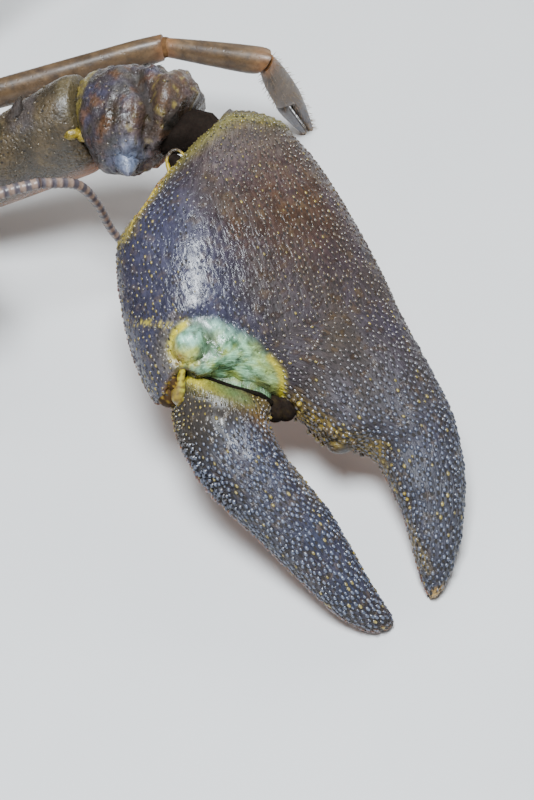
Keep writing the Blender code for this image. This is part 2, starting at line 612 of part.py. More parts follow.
def make_abdomen(finish):
    joints = [(0.0, y, z) for y, z in TAIL_JOINTS]
    spans = spans_through(joints, (0, 0, 1), (0, 1, 0), None)
    for index, span in enumerate(spans):
        front, back = np.array(TAIL_SIZES[index]), np.array(TAIL_SIZES[index + 1])
        rows = [(0.0, *(front * 0.93)), (0.18, *(front * 0.965)), (0.6, *(front * 0.5 + back * 0.5)),
                (0.93, *back), (1.0, *(back * 0.985))]
        c, s = rounded_ring(20)
        rings = []
        for share in (0.0, 0.18, 0.6, 0.93, 1.0):
            wide, high, low = curve(rows, share)[0]
            s2 = np.where(s > 0, s, np.sign(s) * np.abs(s) ** 0.6)
            up = np.where(s > 0, high, low * (1 - 0.35 * (1 - np.abs(c)))) * s2
            rings.append(span.ring(share, wide * c, up, trim=(HALF_GAP, HALF_GAP)))
        ring = solid(f"abdomen_{index + 1}", rings, finish=finish)
        pieces = []
        for side in SIDES.values():
            pieces += tail_pieces(index, span, side)
        combine(ring, pieces)


# Tail fan: outlines as place along, inner edge, outer edge, half thickness, height
TELSON_ROWS = [(0.0, 5.4, 1.5), (0.25, 6.6, 1.0), (0.6, 6.2, 0.8), (0.66, 5.6, 0.75), (0.85, 5.0, 0.6), (1.0, 2.6, 0.45)]
TELSON_START = (0.0, 46.9, 8.1)
TELSON_LENGTH = 19.0
TELSON_TILT = -12.0
UROPODS = {
    "inner": dict(root=(7.2, 48.8, 5.3), spread=19.0, length=18.5, tilt=-8.0, wide=4.8),
    "outer": dict(root=(11.6, 47.2, 4.0), spread=44.0, length=18.5, tilt=-8.5, wide=5.6),
}
UROPOD_ROWS = [(0.0, 0.34, 0.9), (0.12, 0.5, 0.8), (0.4, 0.86, 0.55), (0.7, 1.0, 0.45), (0.88, 0.86, 0.4), (1.0, 0.4, 0.35)]


def plate_rings(start, spread, tilt, length, rows, wide, around, shares, ridge=0.5):
    """Rings of a flat tail plate with a low ridge down its middle."""
    spread, tilt = math.radians(spread), math.radians(tilt)
    along = np.array([math.sin(spread) * math.cos(tilt), math.cos(spread) * math.cos(tilt), math.sin(tilt)])
    across = unit(np.cross(along, (0, 0, 1)))
    up = np.cross(across, along)
    c, s = rounded_ring(around, 2.4)
    rings = []
    for share in shares:
        half, thick = curve(rows, share)[0]
        rise = ridge * np.maximum(0, 1 - np.abs(c) / 0.4) * (s > 0) * (1 - share) + 0.6 * (1 - c**2) * (s > 0)
        rings.append(np.array(start) + along * length * share + np.outer(c * half * wide, across)
                     + np.outer(s * thick + rise * thick, up))
    return rings


def make_tail_fan(finish):
    rings = plate_rings(TELSON_START, 0.0, TELSON_TILT, TELSON_LENGTH, TELSON_ROWS, 1.0, 16,
                        (0.0, 0.12, 0.25, 0.6, 0.66, 0.85, 0.95, 1.0))
    solid("telson", rings, finish=finish)
    for side, turned in SIDES.items():
        for name, size in UROPODS.items():
            rings = plate_rings(size["root"], size["spread"], size["tilt"], size["length"], UROPOD_ROWS,
                                size["wide"], 12, (0.0, 0.12, 0.3, 0.5, 0.7, 0.88, 1.0))
            solid(f"uropod_{side}_{name}", resting(rings), turned, finish)


# Eyes, feelers and mouthparts
EYE_STALK = [(4.6, -51.0, 28.4), (7.2, -54.2, 29.4)]
EYE_CENTRE = (8.5, -55.8, 29.9)
EYE_RADIUS = 2.35


def make_eyes(stalk_finish, eye_finish):
    way = unit(np.array(EYE_CENTRE) - np.array(EYE_STALK[0]))
    for side, turned in SIDES.items():
        span = Span(EYE_STALK[0], EYE_STALK[1], (0, 0, 1))
        rows = [(0.0, 1.5, 1.5, 1.5), (1.0, 2.0, 2.0, 2.0)]
        stalk = solid(f"eyestalk_{side}", limb_rings(span, rows, 10, (0.0, 0.5, 1.0)), turned, stalk_finish)
        combine(stalk, [solid("cutter", carapace_shell(GAP))], "DIFFERENCE")
        start = np.array(EYE_STALK[1]) + span.along * GAP
        across, up = span.across, span.up
        c, s = rounded_ring(12)
        rings = []
        for share in (0.0, 0.22, 0.45, 0.68, 0.86, 0.96, 1.0):
            height = EYE_RADIUS * 1.75 * share
            from_middle = height - EYE_RADIUS * 0.75
            round_size = math.sqrt(max(EYE_RADIUS**2 - from_middle**2, 0.04))
            rings.append(start + span.along * height + round_size * (np.outer(c, across) + np.outer(s, up)))
        solid(f"eye_{side}", rings, turned, eye_finish)


ANTENNULE_JOINTS = [(2.5, -53.6, 26.2), (2.7, -57.0, 26.6), (2.9, -60.0, 27.2), (3.1, -62.6, 27.8)]
ANTENNULE_FLAGELLA = [
    [(3.5, -61.8, 28.1), (4.6, -66.5, 30.2), (6.2, -72.0, 33.0), (7.6, -78.5, 34.6), (8.4, -85.0, 34.4)],
    [(2.6, -61.8, 27.7), (2.2, -66.8, 28.4), (2.4, -72.0, 28.4), (3.4, -77.5, 27.2), (4.8, -82.5, 25.2)],
]
ANTENNA_BASE = [(7.4, -53.6, 22.2), (8.0, -57.6, 22.8), (8.4, -61.4, 23.8), (8.8, -65.2, 25.0)]


def smooth_path(points, count):
    """Places along a smooth line through points, evenly by length."""
    points = np.array(points, float)
    run = np.concatenate([[0.0], np.cumsum(np.linalg.norm(np.diff(points, axis=0), axis=1))])
    rows = np.column_stack([run, points])
    fine = curve(rows, np.linspace(0, run[-1], 400))
    far = np.concatenate([[0.0], np.cumsum(np.linalg.norm(np.diff(fine, axis=0), axis=1))])
    want = np.linspace(0, far[-1], count)
    return np.stack([np.interp(want, far, fine[:, k]) for k in range(3)], -1)


def feeler_rings(points, count, start_radius, end_radius, around):
    """Rings of a thin tapering feeler along a smooth path."""
    line = smooth_path(points, count)
    ways = np.gradient(line, axis=0)
    c, s = rounded_ring(around)
    across = unit(np.cross(ways[0], (0.2, 0.3, 1.0)))
    rings = []
    for i, (place_, way) in enumerate(zip(line, ways)):
        way = unit(way)
        across = unit(across - way * (across @ way))
        up = np.cross(across, way)
        radius = start_radius + (end_radius - start_radius) * i / (count - 1)
        rings.append(place_ + radius * (np.outer(c, across) + np.outer(s, up)))
    return rings


def make_feelers(finish):
    for side, turned in SIDES.items():
        spans = spans_through(ANTENNULE_JOINTS, (0, 0, 1))
        rings = limb_rings(spans[0], [(0, 1.7, 1.6, 1.5), (1, 1.5, 1.4, 1.4)], 8, (0.0, 1.0))
        rings += limb_rings(spans[1], [(0, 1.1, 1.1, 1.1), (1, 1.2, 1.2, 1.2)], 8, (0.05, 1.0))
        rings += limb_rings(spans[2], [(0, 0.9, 0.9, 0.9), (1, 1.1, 1.0, 1.0)], 8, (0.05, 1.0))
        base = solid(f"antennule_{side}", rings, turned, finish)
        thin = [feeler_rings(p, 7, 0.55, 0.28, 6) for p in ANTENNULE_FLAGELLA]
        combine(base, [solid("thin", r, turned) for r in thin])
        spans = spans_through(ANTENNA_BASE, (0, 0, 1))
        rings = limb_rings(spans[0], [(0, 2.9, 2.5, 2.6), (0.5, 3.1, 2.6, 2.7), (1, 2.8, 2.3, 2.4)], 10, (0.0, 0.5, 1.0))
        rings += limb_rings(spans[1], [(0, 2.0, 1.8, 1.8), (1, 2.1, 1.9, 1.9)], 10, (0.05, 1.0))
        rings += limb_rings(spans[2], [(0, 1.5, 1.5, 1.5), (1, 1.7, 1.5, 1.5)], 10, (0.05, 1.0),
                            trim=(0.0, HALF_GAP))
        solid(f"antenna_{side}_base", rings, turned, finish)


FLAGELLA = {
    "l": [
        [(8.95, -65.75, 25.2), (10.6, -67.0, 27.2), (14.4, -66.6, 28.6), (19.2, -65.8, 29.4), (24.0, -66.4, 29.4)],
        [(24.0, -66.4, 29.4), (28.6, -66.9, 27.4), (31.4, -66.7, 22.0), (33.2, -66.3, 15.5), (36.0, -67.2, 9.0)],
        [(36.0, -67.2, 9.0), (40.0, -71.0, 5.2), (44.0, -78.0, 3.0), (46.2, -85.0, 2.0), (46.8, -92.0, 1.6)],
    ],
    "r": [
        [(8.95, -65.75, 25.2), (11.0, -68.7, 28.6), (14.2, -73.5, 31.8), (18.0, -78.0, 35.0), (25.5, -81.0, 41.0), (34.0, -80.0, 45.0)],
        [(34.0, -80.0, 45.0), (43.0, -75.0, 47.0), (52.0, -66.0, 46.0), (59.0, -54.0, 42.0), (62.5, -40.0, 36.0)],
    ],
}
FLAGELLUM_RADIUS = (0.9, 0.3)


def make_flagella(finish):
    """The long antennae, each in a few lengths that meet end to end."""
    for side, turned in SIDES.items():
        lengths = FLAGELLA[side]
        start, end = FLAGELLUM_RADIUS
        for index, points in enumerate(lengths):
            first = start + (end - start) * index / len(lengths)
            last = start + (end - start) * (index + 1) / len(lengths)
            rings = feeler_rings(points, 9, first, last, 6)
            if index:
                rings = rings[:]
                shift = unit(np.mean(rings[1], 0) - np.mean(rings[0], 0)) * GAP
                rings[0] = rings[0] + shift
            solid(f"flagellum_{side}_{index + 1}", rings, turned, finish)


SCALE_ROWS = [(0.0, 0.45, 0.9), (0.2, 0.8, 0.8), (0.6, 1.0, 0.6), (0.85, 0.8, 0.5), (1.0, 0.3, 0.35)]


def make_scales(finish):
    for side, turned in SIDES.items():
        rings = plate_rings((12.6, -56.2, 24.2), 180.0 - 5.0, 3.0, 15.0, SCALE_ROWS, 2.9, 10,
                            (0.0, 0.2, 0.45, 0.7, 0.88, 1.0), 0.0)
        base = solid(f"antenna_{side}_scale", rings, turned, finish)
        combine(base, [spine((15.0, -64.0, 24.4), (15.6, -72.4, 25.0), 0.8, 6, turned)])


MAXILLIPED_JOINTS = [(3.4, -43.8, 12.2), (3.9, -50.0, 10.6), (4.3, -56.5, 10.4), (4.5, -61.5, 12.2), (4.2, -64.5, 14.8),
                     (3.8, -65.8, 17.4)]


def make_mouth(finish, jaw_finish):
    for side, turned in SIDES.items():
        spans = spans_through(MAXILLIPED_JOINTS, (0, 0, 1))
        rings = limb_rings(spans[0], [(0, 2.0, 1.9, 1.6), (1, 2.3, 2.0, 1.7)], 8, (0.0, 1.0))
        rings += limb_rings(spans[1], [(0, 2.1, 1.8, 1.6), (1, 2.0, 1.8, 1.6)], 8, (0.04, 1.0))
        rings += limb_rings(spans[2], [(0, 1.4, 1.4, 1.3), (1, 1.6, 1.5, 1.4)], 8, (0.05, 1.0))
        rings += limb_rings(spans[3], [(0, 1.1, 1.1, 1.1), (1, 1.2, 1.1, 1.1)], 8, (0.05, 1.0))
        rings += limb_rings(spans[4], [(0, 0.9, 0.9, 0.9), (1, 0.3, 0.3, 0.3)], 8, (0.05, 1.0))
        solid(f"maxilliped_{side}", rings, turned, finish)
        span = Span((4.2, -45.4, 15.4), (1.4, -50.4, 15.2), (0, 0, 1))
        jaw = limb_rings(span, [(0, 1.8, 1.5, 1.3), (0.6, 2.0, 1.7, 1.4), (1, 0.9, 1.2, 1.0)], 8, (0.0, 0.5, 1.0))
        jaw = solid(f"mandible_{side}", jaw, turned, jaw_finish)
        combine(jaw, [solid("cutter", carapace_shell(GAP))], "DIFFERENCE")


def centre_on_floor():
    """Moves the whole animal so that the origin is on the floor under the middle of its box."""
    bpy.context.view_layer.update()
    objects = [o for o in bpy.context.scene.objects if o.type == "MESH"]
    points = np.concatenate([[v.co[:] for v in o.data.vertices] for o in objects])
    low, high = points.min(0), points.max(0)
    shift = ((low[0] + high[0]) / 2, (low[1] + high[1]) / 2, 0.0)
    for o in objects:
        for v in o.data.vertices:
            v.co = (v.co[0] - shift[0], v.co[1] - shift[1], v.co[2])


def main():
    for o in list(bpy.data.objects):
        bpy.data.objects.remove(o)
    shell = material("shell", (0.10, 0.055, 0.03), 0.35)
    claw = material("claw_shell", (0.09, 0.06, 0.05), 0.38)
    joint = material("joint_shell", (0.35, 0.16, 0.05), 0.4)
    limb = material("limb_shell", (0.16, 0.09, 0.05), 0.4)
    feeler = material("feeler", (0.30, 0.17, 0.11), 0.45)
    eye = material("eye", (0.01, 0.01, 0.012), 0.08)
    jaw = material("jaw", (0.45, 0.36, 0.26), 0.4)
    make_carapace(shell)
    make_sternum(limb)
    for side in SIDES:
        make_claw(side, claw)
        for pair in LEG_ROOTS:
            make_leg(side, pair, limb)
    make_abdomen(shell)
    make_tail_fan(shell)
    make_eyes(joint, eye)
    make_feelers(feeler)
    make_flagella(feeler)
    make_scales(limb)
    make_mouth(limb, jaw)
    centre_on_floor()


main()
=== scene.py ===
# %% [markdown]
# A signal crayfish at life size, as a still museum model
#
# A crayfish wears its skeleton outside: hard horn shells that meet at soft skins. Each piece here is a
# finer version of one solid in the frame, made from the same sizes, so it fits where the solid stood.
# Points are in the animal's own millimetres (head towards -Y, left side at +X) until they are written to a
# mesh.

# %% Set up
import math
from functools import partial

import bpy
import numpy as np
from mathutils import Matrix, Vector


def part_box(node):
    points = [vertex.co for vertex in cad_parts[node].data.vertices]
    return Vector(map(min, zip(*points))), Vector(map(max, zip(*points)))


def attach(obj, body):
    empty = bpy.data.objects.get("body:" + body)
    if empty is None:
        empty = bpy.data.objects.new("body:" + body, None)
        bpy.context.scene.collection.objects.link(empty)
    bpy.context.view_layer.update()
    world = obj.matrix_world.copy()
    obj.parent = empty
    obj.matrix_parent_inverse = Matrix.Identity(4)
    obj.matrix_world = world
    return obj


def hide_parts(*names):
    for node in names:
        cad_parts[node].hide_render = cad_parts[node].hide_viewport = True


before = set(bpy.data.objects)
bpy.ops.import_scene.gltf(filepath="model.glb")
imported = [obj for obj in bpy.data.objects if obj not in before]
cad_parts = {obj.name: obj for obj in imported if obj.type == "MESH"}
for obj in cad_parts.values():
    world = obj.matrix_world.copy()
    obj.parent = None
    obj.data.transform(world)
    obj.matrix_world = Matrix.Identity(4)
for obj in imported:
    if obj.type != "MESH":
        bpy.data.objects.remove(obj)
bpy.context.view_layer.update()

MM = 0.001
SIDES = {"l": 1.0, "r": -1.0}
ROSTRUM_TIP_Y = -69.0
ALONG_X, UPWARD = (1.0, 0.0, 0.0), (0.0, 0.0, 1.0)

low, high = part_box("carapace")
SHIFT = np.array([-(low[0] + high[0]) / 2, ROSTRUM_TIP_Y * MM - low[1], 0.0])
print("the animal's zero lies at", SHIFT * -1000, "mm in the frame")


def to_frame(points, side=1.0):
    """Millimetres of the animal's own frame, as on its left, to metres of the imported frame."""
    return np.asarray(points, float) * (side, 1.0, 1.0) * MM - SHIFT


# %% [markdown]
# Living forms have no straight edges, so a width or a height is given at a few places and a smooth curve
# runs between them. A spline could swing past its points and make bumps. This curve picks each slope from
# its two neighbours, which keeps it between them. Soft steps (ease) and soft bumps (bell) are used for all
# marks.

# %% Smooth values
def curve(rows, t):
    """Smooth values between rows of (position, value, value, ...), with no overshoot."""
    rows = np.array(rows, float)
    x, y = rows[:, 0], rows[:, 1:]
    step = np.diff(x)[:, None]
    slope = np.diff(y, axis=0) / step
    tangent = np.zeros_like(y)
    rising = slope[:-1] * slope[1:] > 0
    total = np.where(rising, slope[:-1] + slope[1:], 1.0)
    tangent[1:-1] = np.where(rising, 2 * slope[:-1] * slope[1:] / total, 0.0)
    tangent[0], tangent[-1] = slope[0], slope[-1]
    t = np.clip(np.atleast_1d(np.asarray(t, float)), x[0], x[-1])
    i = np.clip(np.searchsorted(x, t, side="right") - 1, 0, len(x) - 2)
    u = ((t - x[i]) / step[i, 0])[:, None]
    rest = 1 - u
    return (
        y[i] * (1 + 2 * u) * rest**2
        + step[i] * tangent[i] * u * rest**2
        + y[i + 1] * u**2 * (3 - 2 * u)
        - step[i] * tangent[i + 1] * u**2 * rest
    )


def unit(v):
    v = np.asarray(v, float)
    return v / np.maximum(np.linalg.norm(v, axis=-1, keepdims=True), 1e-12)


def ease(x, low, high):
    t = np.clip((np.asarray(x, float) - low) / (high - low), 0, 1)
    return t * t * (3 - 2 * t)


def bell(x, middle, width):
    return np.exp(-(((np.asarray(x, float) - middle) / width) ** 2))


def run_of(line):
    """The way covered along a line at each of its points."""
    return np.concatenate([[0.0], np.cumsum(np.linalg.norm(np.diff(line, axis=0), axis=1))])


def at(far, run, line):
    """Points of a line at these distances along it."""
    return np.stack([np.interp(far, run, line[:, k]) for k in range(3)], -1)


def smooth_path(points, count):
    points = np.array(points, float)
    run = run_of(points)
    fine = curve(np.column_stack([run, points]), np.linspace(0, run[-1], 400))
    far = run_of(fine)
    return at(np.linspace(0, far[-1], count), far, fine)


print("halfway up a soft step:", float(ease(0.5, 0, 1)))


# %% [markdown]
# Horn is never one flat colour. Each point gets its colour from coats of paint, one over another. The
# blotches come from a few waves that cross at random angles, with a fixed seed, so each run gives the same
# animal.

# %% Paint
def mix(a, b, share):
    share = np.asarray(share, float)[..., None]
    return np.asarray(a, float) * (1 - share) + np.asarray(b, float) * share


def coats(colour, *layers):
    """A colour under coats of paint, each a colour and its share from 0 to 1."""
    for tint, share in layers:
        colour = mix(colour, tint, share)
    return colour


def mottle(points, size, seed, octaves=3):
    """Smooth random values from about -1 to 1, with blotches of this size in millimetres."""
    rng = np.random.default_rng(seed)
    total = np.zeros(np.shape(points)[:-1])
    for octave in range(octaves):
        ways = unit(rng.normal(size=(7, 3)))
        phase = rng.uniform(0, 2 * math.pi, 7)
        waves = np.sin(points @ ways.T * (2 * math.pi / size * 1.9**octave) + phase)
        total += waves.mean(-1) * 0.6**octave
    return total * 1.6


def cloud(points, size, seed, octaves=3):
    """Blotches from about 0 to 1."""
    return 0.5 + 0.5 * mottle(points, size, seed, octaves)


def spots(points, size, seed, low, high, octaves=3):
    """Blotches with clean ground between them: 0 below low, 1 above high."""
    return ease(mottle(points, size, seed, octaves), low, high)


def plain(colour, amount=0.25, size=4.0, seed=1):
    """A paint of one colour with soft blotches."""
    def paint(points):
        return np.asarray(colour) * (1 + amount * mottle(points, size, seed))[:, None]
    return paint


BROWN, OLIVE, TAN = (0.05, 0.03, 0.019), (0.06, 0.047, 0.026), (0.15, 0.092, 0.044)
ORANGE, CREAM, RUST = (0.36, 0.15, 0.045), (0.55, 0.47, 0.34), (0.11, 0.048, 0.022)
VIOLET, DARK = (0.054, 0.048, 0.072), (0.022, 0.016, 0.013)
print("brown under half a coat of tan:", mix(BROWN, TAN, 0.5))


# %% [markdown]
# Every limb of a crayfish is a hollow tube. So a piece is a stack of rings, which is simple to shape: a row
# gives the half width, and the half height up and down. Where two limb pieces meet, both end in the plane
# that halves the angle of the joint, so they touch without a gap and without running through each other.

# %% Rings between two joints
def rounded_ring(count, power=2.0):
    angle = 2 * math.pi * (np.arange(count) + 0.5) / count
    across, up = np.cos(angle), np.sin(angle)
    return np.sign(across) * np.abs(across) ** (2 / power), np.sign(up) * np.abs(up) ** (2 / power)


class Span:
    """A straight stretch of limb between two joints, whose ends lie in the joints' planes."""

    def __init__(self, start, end, up=UPWARD, start_plane=None, end_plane=None):
        self.start, self.end = np.array(start, float), np.array(end, float)
        self.length = np.linalg.norm(self.end - self.start)
        self.along = (self.end - self.start) / self.length
        self.across = unit(np.cross(self.along, up))
        self.up = np.cross(self.across, self.along)
        self.start_plane = self.along if start_plane is None else unit(start_plane)
        self.end_plane = self.along if end_plane is None else unit(end_plane)

    def slant(self, plane, across, up):
        return -(across * (plane @ self.across) + up * (plane @ self.up)) / (plane @ self.along)

    def ring(self, share, across, up, trim=(0.0, 0.0)):
        low = self.slant(self.start_plane, across, up) + trim[0]
        high = self.length + self.slant(self.end_plane, across, up) - trim[1]
        along = low + (high - low) * share
        away = np.outer(along, self.along) + np.outer(across, self.across) + np.outer(up, self.up)
        return self.start + away

    def share_of(self, points):
        return ((points - self.start) @ self.along) / self.length

    def height_of(self, points):
        return (points - self.start) @ self.up


def spans_through(joints, first_plane=None, last_plane=None):
    joints = [np.array(j, float) for j in joints]
    ways = [unit(b - a) for a, b in zip(joints, joints[1:])]
    planes = [first_plane] + [unit(a + b) for a, b in zip(ways, ways[1:])] + [last_plane]
    return [
        Span(a, b, UPWARD, planes[i], planes[i + 1])
        for i, (a, b) in enumerate(zip(joints, joints[1:]))
    ]


print("a span from 0 to (3, 0, 4) is", Span((0, 0, 0), (3, 0, 4)).length, "mm long")


# %% Limbs
def soften(grid, inset=0.16):
    """Rounds the two end edges of a stack of rings."""
    heads = []
    for ring, neighbour in ((grid[0], grid[1]), (grid[-1], grid[-2])):
        middle = ring.mean(0)
        size = np.linalg.norm(ring - middle, axis=1).mean()
        step = max(np.linalg.norm(neighbour - ring, axis=1).mean(), 1e-6)
        heads.append(middle + (ring - middle) * max(1 - inset * 1.3 / size, 0.2))
        heads.append(ring + (neighbour - ring) * min(inset / step, 0.6))
    return np.concatenate([heads[:2], grid[1:-1], heads[:1:-1]])


def limb(span, rows, around=32, count=26, power=2.2, trim=(0.0, 0.0), ends=(0.0, 1.0)):
    """Rings of a limb piece, as a grid. A row is share, half width, half height up and down."""
    c, s = rounded_ring(around, power)
    rings = []
    for share in np.linspace(ends[0], ends[1], count):
        wide, high, low = curve(rows, share)[0]
        rings.append(span.ring(share, wide * c, np.where(s > 0, high, low) * s, trim))
    return soften(np.array(rings))


def resting(points):
    """Points with none below the floor."""
    points = np.array(points, float)
    points[..., 2] = np.maximum(points[..., 2], 0.0)
    return points


def grid_normals(grid):
    """Outward directions at every point of a stack of rings."""
    down = np.gradient(grid, axis=0)
    turn = np.roll(grid, -1, 1) - np.roll(grid, 1, 1)
    normal = unit(np.cross(turn, down))
    away = grid - grid.mean(1, keepdims=True)
    return np.where((normal * away).sum(-1).mean() < 0, -normal, normal)


def lifted(grid, lift):
    """A stack of rings whose points move outwards by lift, in millimetres."""
    return (grid.reshape(-1, 3) + grid_normals(grid).reshape(-1, 3) * lift[:, None]).reshape(grid.shape)


print("points left on or above the floor:", resting([(0, 0, -1.0), (0, 0, 2.0)])[:, 2])


# %% Tubes, spines and balls
def tube(points, radii, around=10, flat=1.0):
    """Rings along a path with a radius at each place."""
    line = np.asarray(points, float)
    ways = unit(np.gradient(line, axis=0))
    c, s = rounded_ring(around)
    across = unit(np.cross(ways[0], (0.2, 0.3, 1.0)))
    rings = []
    for place, way, radius in zip(line, ways, radii):
        across = unit(across - way * (across @ way))
        up = np.cross(across, way)
        rings.append(place + radius * (np.outer(c, across) + flat * np.outer(s, up)))
    return np.array(rings)


def spine(base, tip, radius):
    """A smooth pointed spine as a stack of rings."""
    base, tip = np.array(base, float), np.array(tip, float)
    share = np.linspace(0, 1, 9)
    return tube(base + np.outer(share, tip - base), radius * (1 - share) ** 0.75 + 0.04, 12)


def ball(centre, radii, axes=np.eye(3), around=24, count=14):
    """A stack of rings for an ellipsoid."""
    c, s = rounded_ring(around)
    rings = []
    for height in np.cos(np.linspace(math.pi * 0.97, math.pi * 0.03, count)):
        size = math.sqrt(max(1 - height**2, 0.0004))
        across = np.outer(radii[0] * size * c, axes[0]) + np.outer(radii[1] * size * s, axes[1])
        rings.append(np.array(centre) + radii[2] * height * axes[2] + across)
    return np.array(rings)


print("a spine has", spine((0, 0, 0), UPWARD, 0.2).shape[0], "rings")


# %% [markdown]
# Crayfish horn is thin and hard, with fine wrinkles, tiny pits and a thin shine like lacquer. A picture
# could give that look, but it would stretch on the curved shell. So nodes make it: noise for blotches and
# wrinkles, small cells for the pits, and the paint of each point for the colour. Very dark paint is painted
# shade in gaps and hollows, so it is made rough and takes no highlight.

# %% Nodes
def fill(tree, node, settings):
    """Links sockets to a node's inputs and sets the rest. An input goes by place or by name."""
    for name, value in settings:
        key = name if isinstance(name, int) else name.replace("_", " ")
        if isinstance(key, str) and key not in node.inputs:
            setattr(node, name, value)
        elif isinstance(value, bpy.types.NodeSocket):
            tree.links.new(value, node.inputs[key])
        else:
            node.inputs[key].default_value = value


def node_of(tree, kind, *ordered, **named):
    """The outputs of a new node."""
    made = tree.nodes.new(kind)
    fill(tree, made, [*named.items(), *enumerate(ordered)])
    return made.outputs


def noise_of(tree, place, scale, detail, roughness=0.5, distortion=0.0):
    made = node_of(tree, "ShaderNodeTexNoise", Vector=place, Scale=scale, Detail=detail, Roughness=roughness,
                   Distortion=distortion)
    return made["Fac"]


def ranged(tree, value, low, high, to_low=0.0, to_high=1.0, kind="LINEAR"):
    """A value between low and high, as one between to_low and to_high."""
    made = node_of(tree, "ShaderNodeMapRange", interpolation_type=kind, Value=value, From_Min=low,
                   From_Max=high, To_Min=to_low, To_Max=to_high)
    return made["Result"]


def math_of(tree, operation, first, second):
    return node_of(tree, "ShaderNodeMath", first, second, operation=operation)[0]


def attribute_of(tree, name, kind="Color"):
    return node_of(tree, "ShaderNodeAttribute", attribute_name=name)[kind]


def bump_of(tree, height, strength, distance, **below):
    made = node_of(tree, "ShaderNodeBump", Height=height, Strength=strength, Distance=distance, **below)
    return made["Normal"]


def blend_of(tree, share, first, second):
    """A colour between two others. Each is a socket or a colour."""
    made = tree.nodes.new("ShaderNodeMix")
    made.data_type = "RGBA"
    colours = [colour if isinstance(colour, bpy.types.NodeSocket) else (*colour, 1.0)
               for colour in (first, second)]
    fill(tree, made, [(0, share), (6, colours[0]), (7, colours[1])])
    return made.outputs[2]


def new_material(name):
    made = bpy.data.materials.new(name)
    made.use_nodes = True
    return made, made.node_tree, made.node_tree.nodes["Principled BSDF"]


print("plain materials that came with the solids:", len(bpy.data.materials))


# %% Horn shell
PIT_DEPTH, WRINKLE_DEPTH = 0.00012, 0.0002
GAP_TONE, SHELL_TONE = 0.02, 0.036


def shell_material(name, roughness, pits, pit_scale, wrinkle, wrinkle_scale, variation, coat, subsurface=0.0,
                   streaks=0.12, specular=0.5):
    """Horn shell coloured by its painted attribute, with blotches, pits and fine wrinkles."""
    made, tree, shader = new_material(name)
    place = node_of(tree, "ShaderNodeTexCoord")["Object"]
    paint = attribute_of(tree, "paint")
    blotch = noise_of(tree, place, 260.0, 6.0, 0.65)
    speck = noise_of(tree, place, 2600.0, 3.0, 0.7)
    fine = noise_of(tree, attribute_of(tree, "flow", "Vector"), wrinkle_scale / 1000, 4.0, 0.55, 0.5)
    strength = ranged(tree, math_of(tree, "ADD", blotch, speck), 0.7, 1.3, 1.0 - variation, 1.0 + variation)
    streak = ranged(tree, fine, 0.35, 0.65, 1.0 - streaks, 1.0 + streaks)
    share = math_of(tree, "MULTIPLY", strength, streak)
    tone = node_of(tree, "ShaderNodeVectorMath", paint, operation="SCALE", Scale=share)[0]
    rough = ranged(tree, blotch, 0.35, 0.65, *roughness)
    bright = node_of(tree, "ShaderNodeRGBToBW", paint)[0]
    # paint darker than the shell's tone is painted shade in gaps and hollows, so it turns rough
    matte = ranged(tree, bright, GAP_TONE, SHELL_TONE, 0.95, 0.0, "SMOOTHSTEP")
    cells = node_of(tree, "ShaderNodeTexVoronoi", Vector=place, Scale=pit_scale, Randomness=0.9)["Distance"]
    pit = bump_of(tree, ranged(tree, cells, 0.0, 0.32, kind="SMOOTHSTEP"), pits, PIT_DEPTH)
    wave = bump_of(tree, fine, wrinkle, WRINKLE_DEPTH, Normal=pit)
    fill(tree, shader, dict(
        Base_Color=tone, Roughness=math_of(tree, "MAXIMUM", rough, matte), Normal=wave, Coat_Weight=coat,
        Coat_Roughness=0.18, Subsurface_Weight=subsurface, Subsurface_Scale=0.0008,
        Specular_IOR_Level=specular,
    ).items())
    return made


CLAW = shell_material("claw_shell", (0.21, 0.36), 1.0, 1150.0, 0.95, 2300.0, 0.38, 0.08, streaks=0.3)
SHELL = shell_material("shell", (0.38, 0.56), 0.65, 950.0, 0.12, 600.0, 0.42, 0.06)
LIMB = shell_material("limb_shell", (0.36, 0.54), 0.32, 1700.0, 0.2, 900.0, 0.4, 0.08)
PLATE = shell_material("tail_plate", (0.5, 0.68), 0.42, 1300.0, 0.2, 900.0, 0.4, 0.03, 0.05)
FEELER = shell_material("feeler", (0.36, 0.5), 0.15, 2600.0, 0.15, 2200.0, 0.2, 0.2)
SKIN = shell_material("joint_skin", (0.6, 0.8), 0.1, 2600.0, 0.7, 1300.0, 0.35, 0.0, 0.04, specular=0.08)
HORN = shell_material("horn", (0.28, 0.4), 0.05, 2600.0, 0.12, 1500.0, 0.2, 0.3, 0.05)
print("shell materials:", [made.name for made in bpy.data.materials])


# %% [markdown]
# Tubercles and hairs share one kind of finish: each takes the tint of the shell below it and turns pale
# towards its tip, by a value stored on the small form. An eye is black glass over many tiny facets, so
# small cells are seen through a clear coat.

# %% Tubercles, hairs and eyes
def grain_material(name, tip_from, roughness, coat):
    """Tubercles and hairs: the shell's own tint below, pale at the tip, and on the pit discs a dull near
    black as painted shade.
    """
    made, tree, shader = new_material(name)
    height = attribute_of(tree, "tip", "Fac")
    share = ranged(tree, height, tip_from, 1.0, kind="SMOOTHSTEP")
    colour = blend_of(tree, share, attribute_of(tree, "tint"), attribute_of(tree, "pale"))
    # the pit discs, marked below -0.5, are painted near black as the shade in each pit and beside its
    # tubercle
    pit = math_of(tree, "LESS_THAN", height, -0.5)
    grain = noise_of(tree, node_of(tree, "ShaderNodeTexCoord")["Object"], 5200.0, 2.0)
    fill(tree, shader, dict(
        Base_Color=blend_of(tree, pit, colour, (0.016, 0.012, 0.01)), Coat_Weight=coat,
        Roughness=ranged(tree, pit, 0.0, 1.0, roughness, 0.85), Normal=bump_of(tree, grain, 0.12, 0.00005),
    ).items())
    return made


